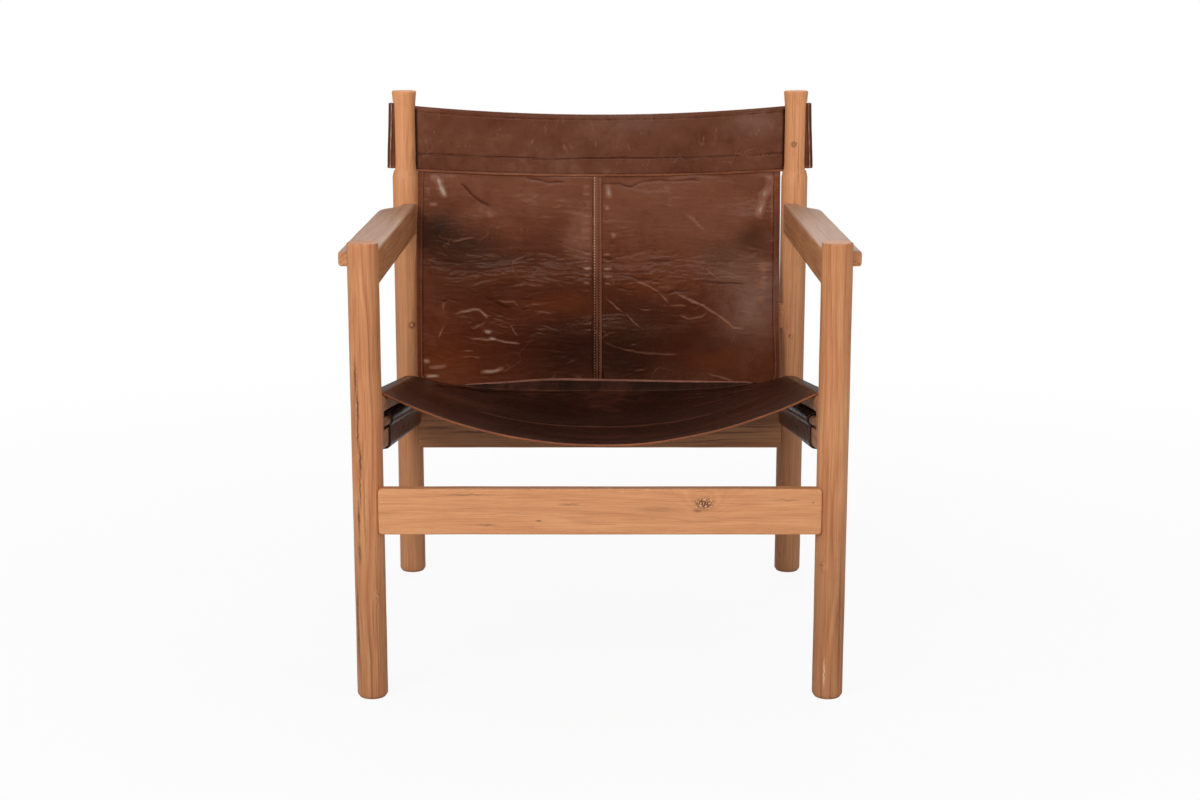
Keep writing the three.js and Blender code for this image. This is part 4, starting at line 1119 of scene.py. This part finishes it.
def seat_grid():
    """The sling's middle surface, and how free it hangs at each point."""
    stops, depths, fulls = zip(*SEAT_SHARES)
    rows = []
    for along in np.linspace(0, 1, int(SEAT_LENGTH / (SEAT_ROW * FINE))):
        depth = float(along_table(along, stops, depths)) * SEAT_SAG
        right = seat_half(depth, float(along_table(along, stops, fulls)))
        section = np.concatenate([right[:0:-1] * (-1, 1, 1, 1), right])
        front = SEAT_FRONT + section[:, 2] * SEAT_SETBACK
        y = front + (crease_y(section[:, 1]) - front) * along
        rows.append(np.stack([section[:, 0], y, section[:, 1], section[:, 3]], -1))
    rows = np.array(rows)
    grid, loose = into_chair(rows[..., :3]), rows[..., 3]
    x, y, z = grid[-1].T
    lap_top = along_table(x, *zip(*LAP_TOPS))
    height = np.where(np.abs(x) < HEM_X - 10, np.maximum(0, lap_top - z), 0)
    full = smooth(height, 0, 6)
    lap = []
    for share in np.arange(1, LAP_STEPS + 1) / LAP_STEPS:
        quarter = min(1, share / LAP_TURN) * math.pi / 2
        reach = LAP_BEND * (full * math.sin(quarter) + (1 - full) * share)
        bend = LAP_BEND * (1 - math.cos(quarter))
        rest = max(0.0, (share - LAP_TURN) / (1 - LAP_TURN))
        rise = np.minimum(height, full * bend + rest * np.maximum(0, height - bend))
        lap.append(np.stack([x, y + reach * SEAT_COS + rise * BACK_TILT, z - reach * SEAT_SIN + rise], -1))
    grid = np.concatenate([grid, lap])
    loose = np.concatenate([loose, np.repeat(loose[-1:] * 0.6, LAP_STEPS, 0)])
    return grid, loose


# Each crease is a path, a depth that is negative where the leather rises, and a width
# Through the tint, pressed creases get painted shade and raised ones painted highlights
SEAT_CREASES = (
    ([(-262, 205), (-244, 226), (-218, 240), (-150, 246)], 1.3, 3.4),
    ([(-250, 235), (-215, 247), (-120, 252), (-30, 249)], 0.9, 3.0),
    ([(250, 226), (200, 240), (120, 246)], 0.8, 3.4),
    ([(-148, 188), (-139, 192)], 0.9, 2.4),
    # A raised arc across the sag, a painted highlight
    ([(-190, 66), (-90, 61), (0, 59), (90, 61), (176, 66)], -1.0, 8.5),
    ([(-150, 48), (-20, 42), (110, 47)], -0.5, 5.0),
    ([(140, 166), (196, 184), (246, 200)], -0.5, 4.0),
    ([(120, 92), (180, 104), (220, 120)], -0.35, 4.0),
)
LAP_TOPS = (
    (-286, 312.5), (-237, 315.6), (-156, 320.5), (-91, 325.4),
    (0, 325.0), (128, 322.5), (209, 321.3), (286, 320),
)


# The most painted light on the turned-up margin's bend
PAINTED_LAP_LIGHT_MOST = 0.62


def seat_relief(grid, loose):
    """How far the sling's leather stands off its plain shape, and its tint: its fine part, with painted
    highlights and painted shade.
    """
    x, y, z = np.moveaxis(out_of_chair(grid), -1, 0)
    rear = smooth(y, 120, 250)
    free = np.where(loose > 0.5, 1.0, 0.0) * smooth(285 - np.abs(x), 0, 40)
    fine = 0.25 * ripples(x / 60, y / 22, 72, 3) * (0.4 + rear)
    fine += 0.3 * rear * ripples(x / 34, y / 9 + ripple(x / 80, y / 40, 73), 74, 2)
    fine -= 0.25 * folds(x / 60, y / 26, 78) * (0.3 + rear)
    bend_x, bend_y = x + 3 * ripple(x / 20, y / 20, 75), y + 3 * ripple(x / 24, y / 24, 76)
    for path, depth, width in SEAT_CREASES:
        fine += crease(bend_x, bend_y, path, depth, width)
    hem = np.where(loose == IN_HEM, 1.0, 0.0)
    fine = fine * free + hem * 0.3 * ripples(y / 9, grid[..., 2] / 14, 77, 2)
    flap = np.where((np.abs(x) < RAIL_INNER) & (z < 20) & (loose < 0.5), 1.0, 0.0)
    puckers = flap * bell(z, -5, 3.5) * ripples(y / 6, z / 20, 79, 2)
    relief = fine + 1.1 * free * ripples(x / 130, y / 110, 71, 2) + 0.8 * puckers
    # Painted highlights on the flap's puckers; the lower flap paler
    tint = fine + 3.2 * np.maximum(0, puckers) + 0.72 * flap * smooth(z, -8, -12)
    # Painted shade on the upper part of the hem's roll
    tint -= 0.9 * hem * smooth(z, -4, 4)
    row = np.arange(len(x)) - (len(x) - LAP_STEPS)
    tint -= free * 0.2 * smooth(row, 5, 9)[:, None]
    # Painted light on the turned-up margin's bend, brighter to the left
    left = 0.25 + 0.75 * smooth(x, -20, -60)
    glow = 1.5 * free * left * bell(row, 3.5, 2.2)[:, None] * (0.7 + 0.5 * ripple(x / 30, 0.5, 80))
    tint += np.minimum(PAINTED_LAP_LIGHT_MOST, glow)
    return relief, tint


grid, loose = seat_grid()
relief, fine = seat_relief(grid, loose)
seat = Hide(grid, SEAT_LEATHER, relief, fine)
lap_cells = np.zeros((len(grid) - 1, grid.shape[1] - 1), bool)
lap_cells[-1:] = True
seat.bare(lap_cells)
across, along, up = out_of_chair(seat.points[seat.faces].mean(1)).T
across = np.abs(across)
in_hem = (across > HEM_X - 12) & (across < HEM_X + 11) & (up > -48) & (up < 18)
seat_looks = [seat_hide, raw_edge, suede, shaded_hem_edge, lap_edge]
seat.picks[(seat.picks == 1) & in_hem] = seat_looks.index(shaded_hem_edge)
seat.picks[(seat.picks == 1) & (along > 0)] = seat_looks.index(lap_edge)
sling = leather_piece("sewn_seat_sling", [seat], seat_looks)
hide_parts("seat_sling")


# Back


def band_top(x):
    return BAND_TOP + BAND_TOP_SAG * (x / LEG_INNER) ** 2


def band_low(x):
    return BAND_LOW + BAND_LOW_SAG * (x / LEG_INNER) ** 2


def band_bow(x):
    return BAND_BOW * np.maximum(0, 1 - (x / LEG_INNER) ** 2)


def panel_y(x, z):
    share = np.minimum((z - PANEL_FOOT) / (band_low(x) - PANEL_FOOT), 1)
    swell = 0.8 * np.sin(share * np.pi) ** 2 * np.sin(share * np.pi * 7)
    return PANEL_FOOT_Y + (REAR_Y + band_bow(x) - PANEL_FOOT_Y) * share + swell


def panel_edge(z, half_width, flare, foot_flare):
    """How far from the middle a half of the back ends at a height."""
    share = np.clip((BAND_LOW - z) / (BAND_LOW - PANEL_FOOT), 0, 1)
    corner = np.clip(1 - (z - PANEL_FOOT) / PANEL_CORNER, 0, 1)
    foot = foot_flare * smooth(z, 430, 345)
    widening = flare * np.minimum(share / 0.58, 1) ** 0.65
    return half_width + foot + widening - (PANEL_CORNER_INSET + flare + foot_flare) * corner


# Creases pressed in, whose tint paints shade in them
BACK_CREASES = (
    ([(-224, 638), (-202, 616), (-188, 604), (-166, 594)], 0.8, 3.2),
    ([(-124, 643), (-88, 637), (-48, 634)], 0.5, 3.0),
    ([(-6, 633), (30, 633), (48, 628), (68, 637), (96, 639), (124, 637), (166, 640)], 0.5, 3.0),
    ([(0, 517), (32, 514)], 0.9, 2.2),
    ([(74, 515), (96, 511), (120, 513)], 0.7, 2.0),
    ([(6, 497), (60, 484), (104, 478)], 0.6, 1.8),
    ([(20, 470), (90, 462), (150, 466)], 0.5, 2.0),
    ([(-132, 438), (-108, 434)], 0.9, 2.4),
    ([(150, 479), (230, 476)], 0.5, 1.8),
    ([(-270, 513), (-206, 508), (-150, 512)], 0.6, 2.0),
    ([(-70, 506), (-18, 497)], 0.5, 1.8),
    ([(-190, 460), (-150, 440), (-136, 436)], 0.6, 4.0),
    ([(-120, 376), (-80, 372), (-50, 366)], 0.5, 2.4),
)
# Raised ridges, whose tint paints their highlights
BACK_SHINES = (
    ([(-274, 600), (-252, 602)], 0.9, 2.4),
    ([(9, 598), (15, 589)], 0.9, 3.0),
    ([(20, 558), (22, 544)], 0.9, 3.2),
    ([(132, 590), (152, 572), (170, 556)], 0.5, 1.6),
    ([(272, 652), (272, 560)], 0.7, 1.4),
    ([(-240, 541), (-216, 546), (-190, 550)], 0.6, 1.4),
    ([(162, 505), (176, 493), (192, 478)], 0.7, 1.2),
    ([(54, 482), (78, 472), (94, 462), (114, 440)], 0.85, 1.3),
    ([(104, 442), (144, 440)], 0.7, 1.6),
    ([(118, 463), (146, 449), (170, 437), (192, 423), (212, 407), (236, 402)], 0.95, 1.5),
    ([(186, 428), (196, 421), (218, 402)], 0.8, 1.5),
    ([(178, 434), (160, 424), (142, 420), (120, 430)], 0.6, 1.4),
    ([(4, 458), (32, 433), (46, 423), (70, 398)], 0.65, 1.2),
    ([(0, 386), (30, 374), (68, 366), (132, 364)], 0.4, 1.8),
    ([(166, 335), (194, 327), (222, 320)], 0.6, 1.6),
    ([(-236, 426), (-210, 433), (-192, 436), (-182, 426), (-176, 414)], 1.2, 1.9),
    ([(-177, 420), (-188, 411), (-204, 403)], 1.0, 1.5),
    ([(-186, 401), (-170, 399)], 1.7, 2.8),
    ([(-212, 389), (-171, 387), (-142, 383), (-122, 381)], 1.1, 1.4),
    ([(-182, 390), (-160, 386)], 1.9, 2.0),
    ([(-145, 414), (-136, 400), (-127, 389)], 0.9, 1.1),
    ([(-177, 450), (-136, 447), (-124, 434)], 0.7, 1.5),
    ([(-130, 437), (-100, 444), (-68, 446)], 0.5, 1.4),
    ([(-245, 418), (-252, 402), (-259, 384)], 0.8, 1.1),
    ([(-251, 454), (-248, 422)], 0.6, 1.4),
    ([(-228, 358), (-206, 362), (-184, 356)], 0.7, 1.4),
    ([(-224, 371), (-196, 370)], 0.6, 1.3),
    ([(-198, 336), (-172, 338), (-148, 342)], 1.4, 2.4),
    ([(-286, 354), (-268, 353)], 1.4, 3.6),
    ([(-280, 344), (-262, 343), (-238, 346)], 0.9, 2.6),
    ([(-284, 331), (-270, 330), (-252, 329)], 1.8, 2.6),
)
SHINE_HEIGHT = 0.92
SHINE_WIDTH = 1.4
# Broad painted highlights: reflections of the lights, as raised tinted streaks
BACK_SHEENS = (
    ([(-272, 668), (-258, 638), (-240, 606)], 1.0, 8.0),
    ([(-262, 650), (-252, 628), (-242, 609)], 1.2, 3.4),
    ([(-280, 650), (-268, 606)], 0.6, 5.0),
    ([(-20, 640), (-27, 596)], 0.65, 7.0),
    ([(10, 636), (17, 604)], 1.15, 6.5),
    ([(269, 662), (264, 606)], 1.2, 7.0),
    ([(260, 628), (251, 572)], 1.25, 8.0),
    ([(258, 612), (253, 580)], 0.9, 3.6),
    ([(104, 640), (112, 588)], 0.45, 7.0),
    ([(262, 520), (256, 436)], 0.55, 14.0),
    ([(-26, 590), (-24, 530)], 0.35, 9.0),
    ([(-200, 600), (-160, 576)], 0.45, 7.0),
    ([(120, 600), (180, 552)], 0.35, 9.0),
)
PUCKER_PITCH = 11.7
PUCKER_PLACE = 499.5


def back_relief(x, z):
    """How far the back's leather stands forward of its plane, and how pale or dark its folds are, much of it
    painted highlight and painted shade.
    """
    bend_x = x + 4 * ripple(x / 40, z / 40, 51)
    bend_z = z + 5 * ripple(x / 70, z / 50, 52)
    middle = bell(z, 500, 58)
    lower = smooth(z, 520, 400) * smooth(x, 120, -60)
    fine = (0.11 + 0.13 * middle + 0.07 * lower) * ripples(bend_x / 44, bend_z / 9.0, 54, 3, 0.55)
    gather = smooth(ripple(x / 75, z / 45, 61), -0.4, 0.3)
    fine -= (0.07 + 0.26 * middle + 0.16 * lower) * gather * folds(bend_x / 60, bend_z / 15, 55, 3.6)
    fine += (0.1 + 0.2 * middle + 0.12 * lower) * gather * folds(bend_x / 52, bend_z / 12, 64, 4.0)
    fine -= (0.02 + 0.18 * middle + 0.08 * lower) * (1.3 - gather) * folds(bend_x / 40, bend_z / 9, 62, 4.0)
    from_seam = np.abs(x + 4)
    turns = (z - PUCKER_PLACE + 1.5 * ripple(x / 60, z / 45, 56)) / PUCKER_PITCH
    row = np.maximum(0, np.cos(2 * np.pi * turns))
    reach = smooth(z, 448, 478) * smooth(z, 534, 522)
    reach += 0.25 * smooth(z, 420, 460) + 0.12 * smooth(z, 530, 560)
    puckers = bell(from_seam, 16, 6.0) * row**1.5 * reach
    for edge, seed in ((-PANEL_LEFT, 57), (PANEL_RIGHT, 58)):
        near = np.exp(-np.abs(x - edge) / 16)
        fine += 0.3 * near * ripples(x / 24, (z + 0.3 * x) / 11, seed, 2)
    source = np.random.default_rng(59)
    for _ in range(40):
        x0, z0 = source.uniform(-265, 262), source.normal(475, 55)
        angle, reach = source.normal(0, 0.2), source.uniform(10, 30)
        bend, depth = source.normal(0, 0.16), source.uniform(0.15, 0.36)
        path = [
            (x0 + s * reach * math.cos(angle), z0 + s * reach * math.sin(angle) + bend * reach * (1 - s * s))
            for s in (-1, 0, 1)
        ]
        fine += crease(bend_x, bend_z, path, depth * source.choice((-1, 1)), source.uniform(1.2, 1.9))
    bend_x = x + 1.5 * ripple(x / 18, z / 18, 65)
    bend_z = z + 1.5 * ripple(x / 18, z / 18, 60)
    pressed, shine = np.zeros(x.shape), np.zeros(x.shape)
    for path, depth, width in BACK_CREASES:
        pressed += np.minimum(0, crease(bend_x, bend_z, path, depth, width))
    for path, height, width in BACK_SHINES:
        shine = np.maximum(shine, crease(bend_x, bend_z, path, -SHINE_HEIGHT * height, SHINE_WIDTH * width))
    for path, height, width in BACK_SHEENS:
        glow = crease(bend_x, bend_z, path, -height, width) * (0.75 + 0.5 * ripple(x / 9, z / 26, 66))
        shine += np.maximum(0, glow)
    # Painted highlights on the puckers beside the seam
    shine += np.where(x < 0, 1.3, 0.8) * (0.7 + 0.7 * ripple(x / 30, z / 17, 67)) * puckers
    calm = (smooth(from_seam, 4.5, 9) * 0.85 + 0.15) * smooth(z, BAND_LOW + 6, BAND_LOW - 4)
    # The tint is partly the pull-up hide's paleness on folds and partly painted light: wrinkles pale on top
    # and dark in their hollows, shade in creases, highlights on shines and sheens
    relief = fine + 0.5 * pressed + 0.4 * shine + 1.3 * ripples(x / 95, z / 70, 53, 2)
    return relief * calm, (fine + pressed + shine) * calm


def stitch_dent(distance):
    return -0.34 * bell(distance, 0, 1.1)


HEM_WIDTH = 8.6
HEM_STEP = 1.1
HEM_STITCH = 6.4
HEM_COLUMNS = np.array([11.0, 10.0, 9.4, 9.0, 8.6, 8.2, 7.6, 7.0, 6.4, 5.8, 5.0, 3.5, 2.0, 0.8, 0.0])
HEM_START = HEM_COLUMNS[0]
LEFT_SEAM = (
    SEAM_EDGE, 0.6, -0.3, INNER_ROW, -2.1, -3.2, -4.5, -5.8, -6.8, -7.6,
    OUTER_ROW, -9.1, -9.8, -10.6, -11.6, -12.6, -13.5,
)
RIGHT_SEAM = (-8.2, -7, -5, -3, -1, 1, 2.6, 3.4, 4.2, 5.2, 6.4, 7.5)


def panel_half(sign, seam, half_width, flare, foot_flare):
    """One half of the back, from the columns at its seam to its side, with their distance from that side."""
    inner = seam[-1]
    reach = half_width - abs(inner) - HEM_START
    rest = np.arange(1, int(reach / FINE)) * FINE / reach
    rows = np.linspace(0, 1, int(PANEL_HEIGHT / FINE))[:, None]
    tall = band_low(0) + BAND_POCKET - PANEL_FOOT
    outer = sign * panel_edge(PANEL_FOOT + rows * tall, half_width, flare, foot_flare)
    x = np.concatenate([
        np.broadcast_to(seam, (len(rows), len(seam))),
        inner + (outer - sign * HEM_START - inner) * rest,
        outer - sign * HEM_COLUMNS,
    ], 1)
    z = PANEL_FOOT + rows * (band_low(x) + BAND_POCKET - PANEL_FOOT)
    from_edge = np.abs(outer - x)
    hem = smooth(from_edge, HEM_WIDTH + 0.4, HEM_WIDTH - 0.2)
    relief, tint = back_relief(x, z)
    extra = HEM_STEP * hem + stitch_dent(from_edge - HEM_STITCH)
    # Painted highlight along the hem's edge and painted shadow just outside it
    tint = tint * (1 - hem) + 0.3 * bell(from_edge, HEM_WIDTH - 1.0, 0.7)
    tint -= 0.7 * bell(from_edge, HEM_WIDTH + 0.7, 0.7)
    forward = smooth(z, SEAM_FOOT, SEAM_HEAD)
    if sign < 0:
        under_band = smooth(z - band_low(x), 1, -5)
        shift = -SEAM_DEPTH * forward * under_band * smooth(x, SEAM_COVERED - SEAM_STEP, SEAM_COVERED)
        extra += stitch_dent(x - OUTER_ROW) + stitch_dent(x - INNER_ROW)
        # Pale line at the half's edge and dark line at its step: painted highlight and painted shade
        tint += 0.16 * smooth(x, -10, -9) - 0.5 * bell(x, -11.2, 0.8) + 0.5 * bell(x, 0.8, 0.6)
        tint += 0.6 * bell(x, -4.6, 0.5) - 0.5 * bell(x, -3.2, 0.6)
    else:
        shift = SEAM_DEPTH * (1 - forward) * smooth(x, SEAM_EDGE + 6, SEAM_EDGE + 2)
        # Painted shadow beside the left half's edge
        tint -= 0.5 * bell(x, 2.6, 1.0)
    grid = np.stack([x, panel_y(x, z) + shift, z], -1)
    relief = relief * (1 - 0.6 * hem)
    return Hide(grid, BACK_LEATHER, relief, tint, np.maximum(extra, -0.6), flip=sign < 0), from_edge


def row_nearest(distances, hide, keep):
    """The points and directions of the sheet's column that has the least distance."""
    column = int(np.argmin(np.abs(distances)))
    return hide.front[keep, column], hide.normal[keep, column]


left_half, left_from_edge = panel_half(-1, LEFT_SEAM, PANEL_LEFT, PANEL_LEFT_FLARE, 0.0)
right_half, right_from_edge = panel_half(1, RIGHT_SEAM, PANEL_RIGHT, 0.0, PANEL_RIGHT_FOOT)
halves = {}
for side, hide, from_edge in (("left", left_half, left_from_edge), ("right", right_half, right_from_edge)):
    heights = hide.front[:, 3, 2]
    keep = np.flatnonzero((heights > LAP_TOP - 8) & (heights < BAND_LOW + 4))
    row = row_nearest(from_edge[len(from_edge) // 2] - HEM_STITCH, hide, keep)
    panel = leather_piece(f"sewn_back_panel_{side}", [hide], [back_hide, raw_edge, suede])
    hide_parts(f"back_panel_{side}")
    halves[side] = [panel, stitched(f"hem_stitches_{side}", [row], dark_thread, thickness=0.55)]
    if side == "left":
        outer_row, inner_row = (
            row_nearest(np.array(LEFT_SEAM) - place, hide, keep) for place in (OUTER_ROW, INNER_ROW)
        )
        halves[side] += [
            stitched("seam_stitches_outer", [outer_row], thread, length=2.7, thickness=0.8),
            stitched("seam_stitches_inner", [inner_row], dark_thread, length=2.7),
        ]


# Band: one sheet folded over at the top, and a roll round each dowel

BAND_MIDDLE = BAND_HALF - BACK_LEATHER / 2
BAND_REACH = 313.0
BAND_HEM = 27.0
BAND_FOLD_LINE = 8.0
BAND_HEIGHT = 96.0


def band_relief(x, z, seed):
    """How far the band's leather stands out of its plane, and its tint: its fine part, with painted
    reflections and painted shadow.
    """
    bend_x = x + 6 * ripple(x / 50, z / 30, seed)
    above_low = z - band_low(x)
    below_top = band_top(x) - z
    fine = 0.22 * ripples(bend_x / 10, z / 38, seed + 2, 3) * (0.4 + 0.6 * smooth(above_low, 22, 40))
    fine += 0.12 * ripples(x / 24, z / 12, seed + 3, 3)
    gather = smooth(ripple(x / 40, z / 26, seed + 5), 0.0, 0.5)
    fine += 0.3 * gather * folds(bend_x / 13, z / 60, seed + 4, 7.0)
    waver = 1.6 * ripple(x / 60, 0.5, seed + 6)
    depth = 0.8 + 0.4 * ripple(x / 34, 1.5, seed + 7)
    pressed = depth * bell(above_low + waver, BAND_HEM, 1.9) + 0.5 * bell(below_top, BAND_FOLD_LINE, 1.1)
    pressed += 0.6 * bell(above_low, 3.4, 0.9)
    # Pale upright streaks, part scratches and part painted reflections
    upright = folds(bend_x / 9, z / 70, seed + 8, 6.0) * smooth(ripple(x / 30, z / 22, seed + 9), 0.1, 0.6)
    # Painted black shadow where the band goes into the posts' slots
    slit = smooth(np.abs(x), LEG_INNER - 0.8, LEG_INNER + 1.2)
    calm = smooth(LEG_INNER - 1 - np.abs(x), 0, 10)
    relief = np.minimum(fine - 0.5 * pressed + 0.7 * ripples(x / 80, z / 45, seed + 1, 2), 1.2)
    tint = (fine - pressed + 0.6 * upright) * (1 - slit) - 1.5 * slit
    return relief * calm * smooth(above_low, -1, 3), tint


def band_sheet():
    """The band from its lower edge at the front, up over the fold and down to its lower edge at the back."""
    x = np.linspace(-BAND_REACH, BAND_REACH, int(2 * BAND_REACH / (1.25 * FINE)))
    edge_rows = np.array([0, 0.9, 1.8, 2.7, 3.6, 4.5]) / BAND_HEIGHT
    face = np.concatenate([edge_rows, np.linspace(0.06, 1, int(90 / FINE))])
    top, low = band_top(x) - BAND_MIDDLE - BACK_LEATHER / 2, band_low(x)
    middle = REAR_Y + band_bow(x)
    plain = np.zeros(len(x))
    rows = []

    def upright(shares, side, seed):
        for share in shares:
            z = low + (top - low) * share
            rows.append((np.stack([x, middle + side * BAND_MIDDLE, z], -1), *band_relief(x, z, seed)))

    upright(face, -1, 81)
    for angle in np.radians(np.linspace(0, 180, 17))[1:-1]:
        y, z = middle - BAND_MIDDLE * math.cos(angle), top + BAND_MIDDLE * math.sin(angle)
        rows.append((np.stack([x, y, z], -1), plain, plain))
    upright(face[::-1], 1, 91)
    grid, lift, tint = map(np.array, zip(*rows))
    hide = Hide(grid, BACK_LEATHER, lift, tint)
    cells = np.zeros((len(grid) - 1, len(x) - 1), bool)
    cells[:2] = True
    hide.bare(cells)
    return hide, x, face


def roll_sheet(sign):
    """The end of the band rolled round its dowel: once round, and lapped on the outer side."""
    low, high = float(band_low(ROLL_X)) + ROLL_LIFT, float(band_top(ROLL_X))
    angle = np.radians(np.linspace(-204, 176, 84))
    radius = ROLL_RADIUS - BACK_LEATHER / 2
    rows = []
    for z in np.linspace(low, high, 60):
        x = sign * (ROLL_X + roll_lean(z) + radius * np.cos(angle))
        rows.append(np.stack([x, REAR_Y + radius * np.sin(angle), np.full(len(angle), z)], -1))
    grid = np.array(rows)
    y, z = grid[..., 1], grid[..., 2]
    relief = 0.16 * ripples(y / 7, z / 26, 95 + sign, 2)
    # Painted highlight down the roll, with painted shade lines either side
    aside = np.cos(angle) * np.where(np.sin(angle) < 0, 1, -9)
    tint = 1.6 * bell(aside, 0.44, 0.1) - 0.9 * bell(aside, 0.2, 0.1) - 0.8 * bell(aside, 0.72, 0.12)
    tint = tint * (0.75 + 0.5 * ripple(z / 16, y / 30, 97 + sign)) + 0.5 * bell(z, low + 1.5, 1.5)
    return Hide(grid, BACK_LEATHER, relief, tint, flip=sign < 0)


band, band_x, band_face = band_sheet()
rolls = [roll_sheet(sign) for sign in (-1, 1)]
band_piece = leather_piece("folded_back_band", [band, *rolls], [band_hide, raw_edge, suede])
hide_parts("back_band")
inside = np.flatnonzero(np.abs(band_x) < LEG_INNER - 2)
band_rows = []
for above_low in (BAND_HEIGHT - BAND_FOLD_LINE + 1.8, BAND_HEM):
    row = int(np.argmin(np.abs(band_face - above_low / BAND_HEIGHT)))
    band_rows.append((band.front[row, inside], band.normal[row, inside]))
band_stitches = stitched("band_stitches", band_rows, dark_thread, length=2.8, thickness=0.4)


# Floor, lights and camera


WHITE = (1.0, 1.0, 1.0, 1.0)
FLOOR_REACH = 60000.0


def floor_look():
    """A pale floor that keeps the chair's shadow and shows white to the camera."""
    g = Graph("floor")
    place = g.here()
    tone = g.ramp(g.noise(place, 3.0), (0.3, (0.64, 0.64, 0.64, 1)), (0.7, (0.68, 0.68, 0.68, 1)))
    diffuse = g.add("BsdfDiffuse", tone)
    glow = g.add("Emission", WHITE, 1.0)
    seen = g.add("LightPath").outputs["Is Camera Ray"]
    away = g.distance(place, (0, 0, 0), (1000, 1000, 1000))
    share = g.times(seen, g.spread(away, 0.5, 2.6, 0.92, 1.0))
    return g.show(g.add("MixShader", share, diffuse.outputs[0], glow.outputs[0]))


def room_look(world):
    """A room that is lighter above, and white to the camera."""
    g = Graph("room", world)
    upward = g.add("SeparateXYZ", g.add("TexCoord").outputs["Generated"]).outputs[2]
    room = g.add("Background", WHITE, g.spread(upward, 0.05, 0.6, 0.17, 0.56))
    white = g.add("Background", WHITE, 1.0)
    seen = g.add("LightPath").outputs["Is Camera Ray"]
    return g.show(g.add("MixShader", seen, room.outputs[0], white.outputs[0]), "OutputWorld")


corners = [(x * FLOOR_REACH, y * FLOOR_REACH, 0) for x, y in ((-1, -1), (1, -1), (1, 1), (-1, 1))]
floor = mesh_object("floor", corners, [(0, 1, 2, 3)])
floor.data.materials.append(floor_look())
bpy.context.scene.world = room_look(bpy.data.worlds.new("room"))

CHAIR_MIDDLE = np.array([0, 0, 400.0])


def lamp(name, place, wide, tall, watts):
    """An area light that is turned to the chair."""
    light = bpy.data.lights.new(name, "AREA")
    light.shape = "RECTANGLE"
    light.size, light.size_y, light.energy = wide * MM, tall * MM, watts
    made = bpy.data.objects.new(name, light)
    bpy.context.scene.collection.objects.link(made)
    made.location = tuple(c * MM for c in place)
    made.rotation_mode = "QUATERNION"
    made.rotation_quaternion = Vector((CHAIR_MIDDLE - place) * MM).to_track_quat("-Z", "Y")


lamp("key", (-1700, -2600, 2300), 1500, 1500, 54)
lamp("fill", (2400, -2200, 1500), 1600, 1600, 16)
lamp("front", (-200, -3600, 1750), 2200, 500, 20)
lamp("rear", (300, 2400, 2300), 1800, 1200, 26)

CAMERA_PLACE = (0.0, -2902.0, 943.0)
CAMERA_PITCH = 11.63
camera_data = bpy.data.cameras.new("camera")
camera_data.sensor_width = 36.0
camera_data.lens = 60.73
camera = bpy.data.objects.new("camera", camera_data)
bpy.context.scene.collection.objects.link(camera)
camera.location = tuple(c * MM for c in CAMERA_PLACE)
camera.rotation_euler = (math.radians(90 - CAMERA_PITCH), 0.0, 0.0)
bpy.context.scene.camera = camera
bpy.context.scene.view_settings.view_transform = "Standard"
